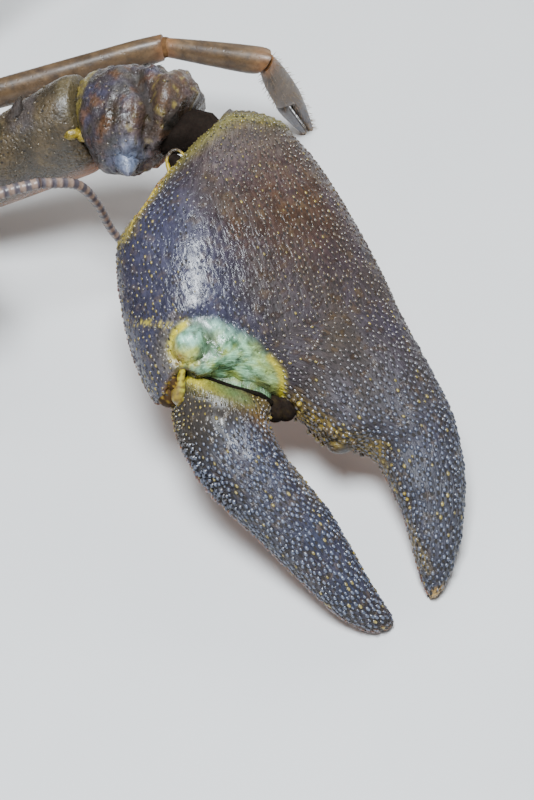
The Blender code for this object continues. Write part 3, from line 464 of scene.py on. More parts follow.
def eye_material():
    """A black eye of many little facets under a clear coat."""
    made, tree, shader = new_material("eye")
    place = node_of(tree, "ShaderNodeTexCoord")["Object"]
    facets = node_of(tree, "ShaderNodeTexVoronoi", Vector=place, Scale=9000.0, Randomness=0.25)["Distance"]
    grey = ranged(tree, facets, 0.0, 1.0, 0.01, 0.03)
    fill(tree, shader, dict(
        Base_Color=node_of(tree, "ShaderNodeCombineColor", Red=grey, Green=grey, Blue=grey)["Color"],
        Normal=bump_of(tree, facets, 0.12, 0.00003), Roughness=0.12, Coat_Weight=0.8, Coat_Roughness=0.04,
    ).items())
    return made


GRAIN = grain_material("grain", 0.3, 0.22, 0.2)
HAIR = grain_material("hair", 0.2, 0.5, 0.0)
EYE = eye_material()
print("nodes in the tubercles' material:", len(GRAIN.node_tree.nodes))


# %% [markdown]
# A stack of rings becomes one closed mesh: four-sided faces between the rings and a fan of triangles over
# each end. Blender calls a face's front the side where its corners run anticlockwise, so the faces of a
# mirrored right limb are turned round. Colours and the run of the wrinkles are stored on the points.

# %% Meshes from rings
def new_object(name, mesh):
    made = bpy.data.objects.new(name, mesh)
    bpy.context.scene.collection.objects.link(made)
    return made


def store(mesh, name, kind, values):
    """Values for each point of a mesh, as an attribute."""
    attribute = mesh.attributes.new(name, kind, "POINT")
    field = {"FLOAT_COLOR": "color", "FLOAT_VECTOR": "vector", "FLOAT": "value"}[kind]
    if kind == "FLOAT_COLOR":
        values = np.column_stack([values, np.ones(len(values))])
    attribute.data.foreach_set(field, np.ascontiguousarray(values, float).ravel())


def faces_of(grid, start, side):
    """Quads between the rings and fans over the ends, which face outwards."""
    count, around = grid.shape[:2]
    i, j = np.meshgrid(np.arange(count - 1), np.arange(around), indexing="ij")
    a = start + i * around + j
    b = start + i * around + (j + 1) % around
    quads = np.stack([a, b, b + around, a + around], -1).reshape(-1, 4)
    first, end = start + count * around, start + (count - 1) * around
    fans = [(first, start + (m + 1) % around, start + m) for m in range(around)]
    fans += [(first + 1, end + m, end + (m + 1) % around) for m in range(around)]
    centre = grid.mean(1, keepdims=True)
    turned = np.cross(grid[:-1, 1] - grid[:-1, 0], grid[1:, 0] - grid[:-1, 0])
    inward = (turned * (grid[:-1, 0] - centre[:-1, 0])).sum(-1).sum() < 0
    if inward != (side < 0):
        quads = quads[:, ::-1]
        fans = [f[::-1] for f in fans]
    return quads.tolist() + fans


print("faces of a ball:", len(faces_of(ball((0, 0, 0), (1, 1, 1)), 0, 1.0)))


# %% A piece of the animal
def surface(name, stacks, finish, paint, nodes=(), side=1.0, flow=None):
    """One object from closed stacks of rings. paint gives a colour for each point, flow the wrinkles' run."""
    points, faces, start = [], [], 0
    for grid in stacks:
        faces += faces_of(grid, start, side)
        points += [grid.reshape(-1, 3), grid[:1].mean(1), grid[-1:].mean(1)]
        start += len(points[-3]) + 2
    points = np.concatenate(points)
    mesh = bpy.data.meshes.new(name)
    mesh.from_pydata(to_frame(points, side).tolist(), [], faces)
    store(mesh, "paint", "FLOAT_COLOR", np.clip(paint(points), 0.002, 0.95))
    store(mesh, "flow", "FLOAT_VECTOR", flow(points) if flow else points)
    mesh.materials.append(finish)
    mesh.shade_smooth()
    mesh.set_sharp_from_angle(angle=math.radians(50))
    made = new_object(name, mesh)
    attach(made, "root")
    if nodes:
        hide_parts(*nodes)
    print(f"{name}: {len(points)} points")
    return made


# %% [markdown]
# The claws carry thousands of small tubercles, each with a pit in front of it. Modelling them one by one is
# hopeless, and a bump texture would leave the outline smooth. So one small form is made with few faces, and
# Geometry Nodes stand a copy on every point of a cloud. Each point says which way its copy faces, which way
# it leans and how large it is. The tree ends in Realize Instances, because an export drops instances.

# %% Small forms
def small_form(name, profile, around, bend=0.0, pit=False):
    """A dome or hair with its base at the origin. Its tip leans ahead, along X, where a pit can lie."""
    points, tips = [], []
    top = profile[-1][1]
    for radius, height in profile[:-1]:
        lean = bend * (height / top) ** 2
        for angle in 2 * math.pi * np.arange(around) / around:
            points.append((radius * math.cos(angle) + lean, radius * math.sin(angle), height))
            tips.append(max(height / top, 0.0))
    points.append((bend, 0.0, top))
    tips.append(1.0)
    pairs = [(k, (k + 1) % around) for k in range(around)]
    faces = [(k, m, around + m, around + k) for k, m in pairs]
    faces += [(around + k, around + m, 2 * around) for k, m in pairs]
    # the pit is a flat disc, which its finish paints near black as the shade in the pit and beside the
    # tubercle
    if pit:
        first = len(points)
        for angle in 2 * math.pi * np.arange(6) / 6:
            points.append((1.5 + 0.78 * math.cos(angle), 0.68 * math.sin(angle), 0.12))
            tips.append(-1.0)
        faces.append(tuple(range(first, first + 6)))
    mesh = bpy.data.meshes.new(name)
    mesh.from_pydata(points, [], faces)
    store(mesh, "tip", "FLOAT", tips)
    mesh.shade_smooth()
    made = new_object(name, mesh)
    made.hide_render = True
    return made


DOME_PROFILE = [(1.0, -0.3), (0.72, 0.58), (0.0, 1.0)]
DOME = small_form("dome_form", DOME_PROFILE, 6, 0.4)
SCALE = small_form("scale_form", DOME_PROFILE, 6, 0.5, True)
BRISTLE = small_form("bristle_form", [(1.0, 0.0), (0.7, 0.55), (0.0, 1.0)], 3)
print("faces of a tubercle:", len(SCALE.data.polygons))


# %% A tree that stands forms on points
def scatter_tree():
    tree = bpy.data.node_groups.new("stand_forms_on_points", "GeometryNodeTree")
    sockets = [tree.interface.new_socket(name, in_out="INPUT", socket_type="NodeSocket" + kind)
               for name, kind in (("Points", "Geometry"), ("Form", "Object"), ("Finish", "Material"))]
    tree.interface.new_socket("Forms", in_out="OUTPUT", socket_type="NodeSocketGeometry")
    given = node_of(tree, "NodeGroupInput")
    facing, stretch, ahead = (
        node_of(tree, "GeometryNodeInputNamedAttribute", data_type="FLOAT_VECTOR", Name=name)["Attribute"]
        for name in ("facing", "stretch", "ahead"))
    form = node_of(tree, "GeometryNodeObjectInfo", transform_space="ORIGINAL", Object=given["Form"],
                   As_Instance=True)["Geometry"]
    turn = node_of(tree, "FunctionNodeAlignRotationToVector", axis="Z", Vector=facing)["Rotation"]
    spin = node_of(tree, "FunctionNodeAlignRotationToVector", axis="X", pivot_axis="Z", Rotation=turn,
                   Vector=ahead)["Rotation"]
    spread = node_of(tree, "GeometryNodeInstanceOnPoints", Points=given["Points"], Instance=form,
                     Rotation=spin, Scale=stretch)["Instances"]
    real = node_of(tree, "GeometryNodeRealizeInstances", Geometry=spread)["Geometry"]
    coloured = node_of(tree, "GeometryNodeSetMaterial", Geometry=real, Material=given["Finish"])["Geometry"]
    node_of(tree, "NodeGroupOutput", Forms=coloured)
    return tree, sockets[1].identifier, sockets[2].identifier


SCATTER, FORM_INPUT, FINISH_INPUT = scatter_tree()
print("nodes of the tree that stands forms on points:", len(SCATTER.nodes))


# %% Forms on points
LOWEST = 0.04


def scatter(name, form, finish, points, facing, stretch, tint, pale, side=1.0,
            ahead=(0.0, -1.0, -0.3)):
    """Stands a form on points. stretch is (length, width, height) in millimetres, the length ahead."""
    full = [np.broadcast_to(value, (len(points), 3))
            for value in (points, facing, stretch, tint, pale, ahead)]
    above = points[:, 2] + np.minimum(full[1][:, 2], 0) * full[2][:, 2] > LOWEST
    points, facing, stretch, tint, pale, ahead = [value[above] for value in full]
    mesh = bpy.data.meshes.new(name)
    mesh.from_pydata(to_frame(points, side).tolist(), [], [])
    store(mesh, "facing", "FLOAT_VECTOR", facing * (side, 1.0, 1.0))
    store(mesh, "ahead", "FLOAT_VECTOR", ahead * (side, 1.0, 1.0))
    store(mesh, "stretch", "FLOAT_VECTOR", stretch * MM)
    store(mesh, "tint", "FLOAT_COLOR", tint)
    store(mesh, "pale", "FLOAT_COLOR", pale)
    made = new_object(name, mesh)
    modifier = made.modifiers.new("stand_forms", "NODES")
    modifier.node_group = SCATTER
    modifier[FORM_INPUT] = form
    modifier[FINISH_INPUT] = finish
    bpy.context.view_layer.update()
    graph = bpy.context.evaluated_depsgraph_get()
    real = bpy.data.meshes.new_from_object(made.evaluated_get(graph), depsgraph=graph)
    made.modifiers.clear()
    made.data = real
    if finish.name not in [m.name for m in real.materials if m]:
        real.materials.append(finish)
    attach(made, "root")
    print(f"{name}: {len(points)} forms")
    return made


# %% [markdown]
# On the animal the tubercles stand in rough rows, never in a grid. So points are laid in rows along the
# surface, pushed about at random, and dropped where two come too near.

# %% Rows of tubercles
def thin(points, nearest):
    """Indexes of points left when any nearer than this to an earlier one is dropped."""
    cells, left = {}, []
    around = [(dx, dy, dz) for dx in (-1, 0, 1) for dy in (-1, 0, 1) for dz in (-1, 0, 1)]
    for index, (x, y, z) in enumerate(np.floor(points / nearest).astype(int).tolist()):
        others = [other for dx, dy, dz in around for other in cells.get((x + dx, y + dy, z + dz), ())]
        if not others or ((points[others] - points[index]) ** 2).sum(1).min() >= nearest**2:
            cells.setdefault((x, y, z), []).append(index)
            left.append(index)
    return np.array(left, int)


def rows_on(grid, columns, step, keep, seed):
    """Points in rows along a stack of rings. keep gives a size from 0 for each point."""
    rng = np.random.default_rng(seed)
    normal = grid_normals(grid)
    total = grid.shape[1]
    found = []
    for column in range(columns):
        turn = (column + 0.5) / columns * total
        j, rest = int(turn) % total, turn % 1
        line = grid[:, j] * (1 - rest) + grid[:, (j + 1) % total] * rest
        out = normal[:, j] * (1 - rest) + normal[:, (j + 1) % total] * rest
        run = run_of(line)
        pace = 0.6 * step
        far = np.arange(pace * (0.25 + 0.5 * (column % 2)) + run[-1] * 0.02, run[-1] * 0.99, pace)
        if not len(far):
            continue
        far = far + rng.uniform(-0.35, 0.35, len(far)) * step
        facing = unit(at(far, run, out))
        side_step = unit(np.cross(facing, (0.3, 1.0, 0.2))) * rng.uniform(-0.3, 0.3, (len(far), 1)) * step
        ways = unit(at(far, run, np.gradient(line, axis=0)))
        found.append(np.column_stack([at(far, run, line) + side_step, facing, ways]))
    found = rng.permutation(np.concatenate(found))
    size = keep(found[:, :3], found[:, 3:6]) * rng.uniform(0.7, 1.2, len(found))
    found, size = found[size > 0.05], size[size > 0.05]
    left = thin(found[:, :3], 0.82 * step)
    return found[left, :3], found[left, 3:6], size[left], found[left, 6:]


def grains(name, grid, columns, step, radius, height, keep, paint, pale, seed, side, slot, taller=None,
           longer=1.25):
    """Tubercles on a surface. taller gives a share by which some stand higher."""
    place, facing, size, ways = rows_on(grid, columns, step, keep, seed)
    rise = height * size * (1 + taller(place) if taller else 1.0)
    stretch = np.column_stack([longer * radius * size, radius * size, rise])
    tops = pale(place) if callable(pale) else np.broadcast_to(pale, (len(place), 3))
    speckle = np.random.default_rng(seed + 1).uniform(0.65, 1.2, (len(place), 1))
    return scatter(name, SCALE, GRAIN, place - facing * 0.02, facing, stretch, paint(place) * 0.85,
                   tops * speckle, side, ways)


print("points left of two that are too near:", len(thin(np.array([(0, 0, 0), (0.1, 0, 0)]), 0.5)))


# %% [markdown]
# The carapace is one shield over the head and chest. It could be carved from a block, but a stack of rings
# follows its smooth swell better. A groove crosses it where head and chest have grown together, and it
# sweeps forward down the sides, so the rings themselves sweep with it. Two faint lines along the back and a
# few small scars, where muscles are fixed inside, are pressed in. The groove and the two lines are darkened
# with painted shade, and the scars are painted pale.

# %% Shape of the carapace
GROOVE_Y, GROOVE_SWEEP, GROOVE_REACH, GROOVE_DEPTH = -24.5, 11.0, 15.0, 0.045
CARAPACE_ROWS = [
    (-53.0, 4.4, 31.2, 21.5, 26.5),
    (-52.2, 7.0, 32.2, 19.6, 26.0),
    (-50.5, 9.0, 33.2, 18.2, 25.5),
    (-46.0, 11.4, 34.8, 16.6, 25.0),
    (-40.0, 13.6, 36.6, 15.0, 24.0),
    (-33.0, 15.3, 38.1, 13.8, 23.0),
    (-24.0, 16.6, 39.0, 13.0, 22.3),
    (-12.0, 18.2, 38.7, 12.5, 21.5),
    (-5.0, 17.8, 37.4, 12.7, 21.5),
    (-1.5, 16.9, 36.0, 13.4, 21.5),
    (0.0, 15.7, 34.7, 14.2, 21.5),
]
BACK_LINES = [((3.3, -22.5), (3.0, -12.0)), ((3.0, -12.0), (4.6, -2.5))]
SCARS = [((5.6, -20.4), (6.2, -19.2)), ((8.2, -19.0), (8.8, -17.8)), ((10.6, -21.0), (11.2, -19.8))]


def carapace_ring(y):
    """One ring of the carapace, swept forward down the sides where the groove runs."""
    c, s = rounded_ring(176)
    sweep = GROOVE_SWEEP * np.where(s > 0, 1 - s, 1 + 0.2 * s) ** 1.3
    real_y = y - sweep * math.exp(-(((y - GROOVE_Y) / GROOVE_REACH) ** 2)) * min(1.0, -y / 6.0)
    wide, top, bottom, middle = curve(CARAPACE_ROWS, real_y).T
    depth = 1 - GROOVE_DEPTH * math.exp(-(((y - GROOVE_Y) / 0.75) ** 2)) * (s > -0.6)
    s = np.where(s > 0, s, np.sign(s) * np.abs(s) ** 0.75)
    z = middle + np.where(s > 0, top - middle, middle - bottom) * s * depth
    return np.stack([wide * c * depth, real_y, z], -1)


print("points on a ring of the carapace:", len(carapace_ring(-20.0)))


# %% Surface and paint of the carapace
def near_line(u, v, start, end, width):
    """From 1 on a line in a plane down to 0 away from it."""
    start, way = np.array(start, float), np.subtract(end, start)
    share = np.clip(((u - start[0]) * way[0] + (v - start[1]) * way[1]) / max(way @ way, 1e-9), 0, 1)
    return np.exp(-((np.hypot(u - start[0] - share * way[0], v - start[1] - share * way[1]) / width) ** 2))


def ridge(points, start, end, width):
    """How near each point is to a line on either side of the back, from 0 to 1."""
    return near_line(np.abs(points[:, 0]), points[:, 1], start, end, width) * (points[:, 2] > 24)


def carapace_grid():
    places = np.concatenate([np.linspace(-53, -50, 16), np.linspace(-49.7, -0.5, 170), [-0.25, 0.0]])
    grid = np.array([carapace_ring(y) for y in places])
    p = grid.reshape(-1, 3)
    y, z = p[:, 1], p[:, 2]
    lift = 0.55 * ridge(p, (6.2, -49.5), (7.6, -42.0), 0.9) + 0.35 * ridge(p, (8.3, -41.0), (8.8, -36.5), 0.8)
    for line in BACK_LINES:
        lift -= 0.28 * ridge(p, *line, 0.5)
    lift -= 0.22 * bell(y, -2.0, 0.45) * (z > 16)
    lift += 0.1 * mottle(p, 7.0, 3, 2) * ease(z, 14, 20)
    lift -= 0.3 * bell(z, 16.2, 0.5) * ease(-y, 0.5, 4) * ease(y, -46, -40)
    return soften(lifted(grid, np.minimum(lift, 0.5)), 0.3)


def paint_carapace(p):
    x, y, z = np.abs(p[:, 0]), p[:, 1], p[:, 2]
    groove = bell(y + GROOVE_SWEEP * np.clip((39 - z) / 17, 0, 1) ** 1.3, GROOVE_Y, 1.1)
    return coats(
        mix(BROWN, OLIVE, cloud(p, 6.0, 5, 4)),
        (VIOLET, 0.5 * spots(p, 10.0, 6, -0.2, 0.6, 4)),
        (RUST, 0.55 * spots(p, 4.5, 12, 0.1, 0.8, 4)),
        (TAN, 0.75 * ease(24.5 - z, 0, 9) * (0.75 + 0.25 * mottle(p, 5.0, 7))),
        (ORANGE, 0.55 * ease(16.5 - z, 0, 3)),
        # painted shade in the groove
        (DARK, 0.45 * groove),
        (TAN, 0.5 * bell(y, -0.6, 0.6)),
        (ORANGE, 0.35 * bell(x, 8.0, 1.2) * ease(-y, 36, 42)),
        (TAN, 0.45 * spots(p, 1.6, 8, 0.35, 0.9, 2)),
        (DARK, 0.5 * spots(p, 1.3, 14, 0.3, 0.8, 2)),
        # painted shade in the two pressed lines along the back
        *[(DARK, 0.5 * ridge(p, *line, 0.45)) for line in BACK_LINES],
        *[(TAN, 0.6 * ridge(p, *scar, 0.7)) for scar in SCARS],
    )


shell_grid = carapace_grid()
print("the carapace is", np.ptp(shell_grid[..., 1]).round(1), "mm long without its rostrum")


# %% [markdown]
# The rostrum is the pointed roof between the eyes, with raised edges and a faint keel. These are small
# bumps across its rings. Spines stand beside it, and granules roughen the cheeks and flanks.

# %% Rostrum, and granules on the cheeks
ROSTRUM_ROWS = [
    (-69.0, 0.25, 34.6, 34.0),
    (-66.0, 0.8, 34.0, 32.4),
    (-62.6, 1.7, 33.3, 31.0),
    (-61.0, 3.2, 33.1, 30.6),
    (-56.0, 3.7, 33.4, 30.0),
    (-50.0, 4.3, 34.3, 29.2),
    (-45.0, 4.6, 35.4, 29.2),
]
HEAD_SPINES = [
    ((2.6, -59.5, 32.2), (3.9, -64.2, 33.6), 0.85),
    ((6.6, -47.2, 32.9), (6.3, -51.6, 34.2), 0.85),
    ((7.9, -40.7, 34.6), (7.4, -44.2, 36.0), 0.75),
    ((9.0, -49.3, 27.5), (9.6, -53.4, 27.9), 0.95),
]


def rostrum_stacks():
    """The pointed roof between the eyes, with raised edges and a keel, and the spines of the head."""
    c, s = rounded_ring(48, 2.6)
    rings = []
    for y in np.concatenate([np.linspace(-69, -66, 8), np.linspace(-65.6, -46, 50)]):
        wide, top, bottom = curve(ROSTRUM_ROWS, y)[0]
        wide = wide * (1 - 0.06 * bell(y, -61.8, 0.5))
        edge = 0.45 * bell(np.abs(c), 0.86, 0.13) * ease(-y, 46, 50) * (1 - ease(-y, 60, 62))
        keel = 0.32 * bell(c, 0.0, 0.16) * ease(-y, 50, 56)
        dish = 0.62 * wide / 4 * (1 - np.abs(c) ** 2.2)
        z = (top + bottom) / 2 + (top - bottom) / 2 * s + np.where(s > 0, edge + keel - dish, 0.0)
        rings.append(np.stack([wide * c, np.full(48, y), z], -1))
    stacks = [np.array(rings)]
    for sign in (1, -1):
        turn = np.array([sign, 1, 1])
        stacks += [spine(turn * base, turn * tip, radius) for base, tip, radius in HEAD_SPINES]
    return stacks


def paint_rostrum(p):
    edges = 0.45 * bell(np.abs(p[:, 0]), 3.6, 0.8)
    return coats(paint_carapace(p), (TAN, edges), (CREAM, 0.55 * ease(-p[:, 1], 62, 68.5)))


def carapace_keep(p, facing):
    """Granules stand on the cheeks and flanks, and only a few on the back."""
    cheek = ease(-p[:, 1], 26, 34) * ease(32.0 - p[:, 2], 0, 6)
    flank = 0.55 * ease(25.0 - p[:, 2], 0, 6)
    return np.clip(0.18 + cheek + flank, 0, 1) * (p[:, 2] > 15.5) * (p[:, 1] < -2) * (p[:, 1] > -51)


surface("carapace_shell", [shell_grid] + rostrum_stacks(), SHELL, paint_rostrum, ["carapace"])
grains("carapace_granules", shell_grid, 110, 1.1, 0.25, 0.2, carapace_keep, paint_carapace,
       (0.23, 0.155, 0.08), 15, 1.0, "shell", longer=1.1)


# %% [markdown]
# Between the legs lies a narrow plate with a rib for each pair. A cosine along the body makes all the ribs
# at the legs' pitch. The face under the rostrum is mostly hidden, and a few flat balls do for it.

# %% Breast plate and face
STERNUM_Z = 9.8
STERNUM_ROWS = [
    (-43.5, 3.0, 17.0, 10.0),
    (-41.0, 3.8, 17.0, 8.2),
    (-35.0, 4.8, 17.0, 7.4),
    (-8.0, 6.2, 16.0, 7.4),
    (-2.5, 6.2, 16.0, 8.2),
    (-1.0, 5.4, 16.0, 9.5),
]
LEG_PITCH = 7.4


def leg_root(y):
    """Where a leg leaves the sternum's flat side."""
    return np.array([curve(STERNUM_ROWS, y + 3.6)[0][0] + 0.3, y, STERNUM_Z])


def sternum_stacks():
    """The narrow plate between the legs, with a rib for each pair of them."""
    c, s = rounded_ring(48, 6.0)
    rings = []
    for y in np.linspace(-43.5, -1.0, 150):
        wide, top, bottom = curve(STERNUM_ROWS, y)[0]
        top = min(top, curve(CARAPACE_ROWS, y)[0][2] - 0.6)
        rib = 0.35 * np.maximum(0, np.cos((y + 7.5) * 2 * math.pi / LEG_PITCH)) - 0.18
        z = (top + bottom) / 2 + (top - bottom) / 2 * s
        z = np.where(s < 0, z + 0.5 * rib + 0.7 * bell(c, 0.0, 0.22), z)
        rings.append(np.stack([(wide - 0.1 + 0.3 * rib) * c, np.full(48, y), z], -1))
    return [soften(np.array(rings), 0.4)]


def paint_sternum(p):
    return mix(mix(CREAM, TAN, cloud(p, 4, 9)), ORANGE, 0.35 * spots(p, 6, 10, 0, 1))


FACE = [
    ((0, -53.2, 21.6), (4.4, 2.0, 2.6)),
    ((0, -54.6, 20.4), (2.3, 1.4, 1.3)),
    ((0, -53.0, 18.2), (2.6, 1.9, 1.4)),
    ((0, -52.8, 27.6), (3.0, 1.6, 2.2)),
]
surface("breast_plate", sternum_stacks(), LIMB, paint_sternum, ["sternum"])
surface("face_plate", [ball(*form) for form in FACE], LIMB, plain(TAN, 0.3, 3.0, 11))


# %% [markdown]
# The claw is what the photograph shows, so it carries the most detail. Its places are given in the claw's
# own directions: along to the tips, inward to the animal's midline, and up. The outline of the palm and of
# the finger is a list of rows, each with the outer and the inner edge, so both follow the real outline
# closely.

# %% The claw's own directions
CLAW_YAWS = {"l": -0.3, "r": -13.0}
CHELA_PITCH, CLAW_ROLL = 21.4, 3.0
WRISTS = {"l": (48.4, -64.2, 27.5), "r": (45.4, -68.4, 27.5)}
WRIST_PLACE = (1.1, 2.6, -0.2)
ARM_ROOT_Y = -37.0
ARM_JOINTS = [(9.2, -41.2, 10.0), (14.8, -47.8, 12.6)]
ELBOWS = {"l": (36.1, -55.2, 24.5), "r": (34.6, -57.8, 24.5)}


class Claw:
    """A claw's directions, the spans of its arm, and short ways to add its pieces."""

    def __init__(self, side):
        self.side, self.turned = side, SIDES[side]
        yaw, pitch, roll = (math.radians(turn) for turn in (CLAW_YAWS[side], CHELA_PITCH, CLAW_ROLL))
        level = np.array([math.sin(yaw), -math.cos(yaw), 0.0])
        self.along = level * math.cos(pitch) - np.array(UPWARD) * math.sin(pitch)
        inward = -np.cross(UPWARD, level)
        lift = np.cross(inward, self.along)
        self.inward = inward * math.cos(roll) + lift * math.sin(roll)
        self.up = -inward * math.sin(roll) + lift * math.cos(roll)
        self.origin = np.array(WRISTS[side])
        self.upright = np.array([self.along, self.up, self.inward])
        self.wrist = self.point(*WRIST_PLACE)
        joints = [leg_root(ARM_ROOT_Y), *ARM_JOINTS, ELBOWS[side], self.wrist]
        self.spans = spans_through(joints + [self.wrist + 10 * self.along], ALONG_X)

    def point(self, along, inward, up):
        parts = zip((along, inward, up), (self.along, self.inward, self.up))
        return self.origin + sum(np.multiply.outer(far, way) for far, way in parts)

    def place(self, points):
        """Along, inward and up of points."""
        away = np.asarray(points) - self.origin
        return away @ self.along, away @ self.inward, away @ self.up

    def add(self, name, stacks, finish, paint, node=False, flow=None):
        nodes = [f"cheliped_{self.side}_{name}"] if node else ()
        surface(f"claw_{self.side}_{name}", stacks, finish, paint, nodes, self.turned, flow)

    def add_grains(self, name, *form, **more):
        grains(f"claw_{self.side}_{name}", *form, self.turned, "claw_shell", **more)


left_claw = Claw("l")
print("the left claw points", left_claw.along.round(2))


# %% Outlines of palm and finger
PALM_ROWS = [
    (0.0, 0.4, -3.4, 2.2, -0.2, 3.2, 3.0, 0.0, -0.4),
    (0.04, 0.8, -3.6, 3.5, 1.0, 3.5, 3.3, 0.0, -0.2),
    (0.08, 1.4, -4.8, 4.4, 3.8, 4.5, 4.0, 0.05, 0.0),
    (0.13, 3.6, -8.0, 6.0, 7.6, 5.9, 4.9, 0.1, 0.0),
    (0.19, 7.0, -9.7, 8.7, 12.8, 7.3, 6.1, 0.15, 0.0),
    (0.27, 12.0, -11.1, 12.0, 17.8, 8.4, 7.2, 0.2, 0.0),
    (0.36, 18.0, -11.9, 18.3, 20.4, 9.0, 7.8, 0.2, 0.0),
    (0.45, 24.0, -12.3, 24.5, 21.9, 8.7, 7.6, 0.2, 0.0),
    (0.52, 29.0, -12.5, 29.5, 22.4, 7.9, 7.0, 0.15, 0.0),
    (0.56, 31.5, -12.5, 33.0, 22.0, 7.2, 6.4, 0.1, 0.0),
    (0.6, 33.5, -12.4, 33.2, 17.0, 6.8, 6.0, 0.1, 0.0),
    (0.64, 36.0, -12.4, 35.5, 12.0, 6.4, 5.6, 0.1, 0.0),
    (0.69, 39.5, -12.5, 39.0, 7.2, 5.9, 5.2, 0.05, 0.0),
    (0.74, 43.0, -12.6, 43.1, 5.1, 5.6, 4.9, 0.0, 0.0),
    (0.78, 46.0, -12.7, 46.4, 3.6, 5.3, 4.7, 0.0, 0.0),
    (0.81, 48.5, -12.6, 48.6, 0.1, 5.1, 4.5, 0.0, 0.0),
    (0.85, 52.0, -12.0, 51.5, -1.5, 4.7, 4.2, 0.0, -0.1),
    (0.9, 57.0, -10.4, 57.0, -1.5, 4.0, 3.6, 0.0, -0.2),
    (0.95, 63.5, -6.8, 62.8, -0.6, 3.0, 2.6, 0.0, -0.6),
    (0.985, 67.8, -2.9, 67.0, 0.0, 1.8, 1.8, 0.0, -1.0),
    (1.0, 69.2, -0.9, 69.0, -0.1, 0.8, 1.0, 0.0, -1.4),
]
DACTYL_ROWS = [
    (0.0, 28.6, 16.0, 34.6, 6.6, 3.6, 3.4, 0.0, 0.0),
    (0.06, 31.6, 18.7, 37.6, 8.0, 4.4, 4.0, 0.0, 0.0),
    (0.12, 34.6, 20.4, 39.3, 9.0, 4.9, 4.4, 0.0, 0.0),
    (0.2, 38.5, 21.3, 41.8, 10.4, 5.2, 4.6, 0.0, 0.0),
    (0.3, 43.0, 21.0, 44.7, 10.5, 5.1, 4.6, 0.0, 0.0),
    (0.42, 49.0, 19.3, 50.0, 9.3, 4.8, 4.3, 0.0, 0.0),
    (0.55, 54.8, 17.0, 55.0, 8.0, 4.3, 3.9, 0.0, 0.0),
    (0.68, 60.2, 14.8, 60.0, 7.4, 3.5, 3.3, 0.0, -0.2),
    (0.8, 64.6, 13.0, 64.0, 6.9, 2.7, 2.6, 0.0, -0.5),
    (0.9, 68.2, 10.8, 67.3, 6.3, 1.9, 1.9, 0.0, -0.9),
    (0.96, 70.0, 8.7, 69.2, 5.9, 1.2, 1.3, 0.0, -1.2),
    (1.0, 70.6, 6.9, 70.2, 6.0, 0.6, 0.8, 0.0, -1.6),
]


print("rows of the palm's outline:", len(PALM_ROWS), "and of the finger's:", len(DACTYL_ROWS))


# %% Surfaces between the outlines
def blade_grid(claw, rows, count, around):
    """The surface of a finger or palm between its outer and inner edges."""
    c, s = rounded_ring(around, 2.25)
    rings = []
    for ou, ov, iu, iv, top, bottom, lean, drop in curve(rows, np.linspace(0, 1, count)):
        up = drop + np.where(s > 0, top, bottom) * s * (1 + lean * c)
        rings.append(claw.point((ou + iu) / 2 + (iu - ou) / 2 * c, (ov + iv) / 2 + (iv - ov) / 2 * c, up))
    return np.array(rings)


def claw_flow(claw, rows):
    """Wrinkles that run along a finger and spread with its width."""
    along = [(r[1] + r[3]) / 2 for r in rows]
    middle = [(r[2] + r[4]) / 2 for r in rows]
    half = [math.hypot(r[1] - r[3], r[2] - r[4]) / 2 + 2 for r in rows]

    def flow(p):
        u, v, n = claw.place(p)
        wide = np.interp(u, along, half) / 12
        return np.column_stack([0.27 * u, (v - np.interp(u, along, middle)) / wide, n / wide])
    return flow


print("the palm and its finger are", PALM_ROWS[-1][1], "mm long")


# %% [markdown]
# A pale blue-green patch over the finger's joint is the mark of this species. It is a soft, smooth skin
# with faint fibres, a round knuckle at its inner end, a yellow edge and a crack towards the finger, whose
# shade is painted dark.
# Its outline is drawn in the claw's plane, and the distance inside that outline raises the patch, tints it
# and keeps the tubercles away.

# %% Marks in the claw's plane
PATCH = [(26.8, 17.4), (27.1, 15.4), (28.0, 13.2), (29.7, 11.5), (32.0, 9.6), (34.4, 8.3), (37.0, 7.4),
         (38.9, 7.9), (38.2, 9.8), (35.0, 14.0), (33.0, 17.6), (31.6, 19.3), (28.2, 18.8)]
NOTCH = [(31.3, 19.2), (33.0, 17.6), (35.0, 17.6), (35.0, 21.0), (32.6, 21.3)]
CRACK = [(31.5, 18.1), (32.3, 17.2), (33.2, 16.4), (34.4, 14.8), (35.8, 13.2), (36.9, 11.6), (37.8, 10.3),
         (39.0, 9.0)]
JOINT_STRIP = [CRACK[0], *CRACK[2:], (38.5, 6.0), (33.0, 8.0), (29.0, 16.0)]
CREST_ROW = [(2.0, 2.0), (8.0, 5.5), (14.0, 9.0), (20.0, 12.0), (26.0, 14.6), (30.0, 16.5)]
KNUCKLE, WARM_PLACE = (29.4, 17.2), (16.0, -3.5)
# Each mark is a list of lines, as (start, end, width, strength)
PATCH_EDGE = [((34.4, 8.2), (36.8, 7.3), 0.35, 0.8), ((36.8, 7.3), (39.6, 7.5), 0.42, 0.9),
              ((27.2, 18.0), (26.9, 16.6), 0.4, 0.9), ((31.0, 18.4), (32.0, 17.2), 0.3, 0.7)]
CRACK_SHADE = [((31.6, 18.2), (33.4, 16.8), 0.35, 1.0), ((33.4, 16.8), (36.0, 12.4), 0.4, 1.0),
               ((36.0, 12.4), (39.0, 8.4), 0.4, 1.0)]
WRIST_RIM = [((6.2, 7.6), (9.0, 12.8), 0.9, 1.0), ((9.0, 12.8), (12.4, 17.6), 0.8, 1.0)]
CUTTING_EDGE = [((40.0, 6.4), (46.6, 3.0), 0.7, 1.0), ((46.6, 2.6), (49.6, -1.4), 0.6, 0.8),
                ((49.6, -1.4), (66.0, -0.6), 0.45, 0.5)]
DOT_ROW = ((23.6, 21.0), (26.4, 18.4))
CLAW_BROWN, CLAW_VIOLET, CLAW_WARM = (0.034, 0.023, 0.018), (0.033, 0.026, 0.043), (0.066, 0.031, 0.014)
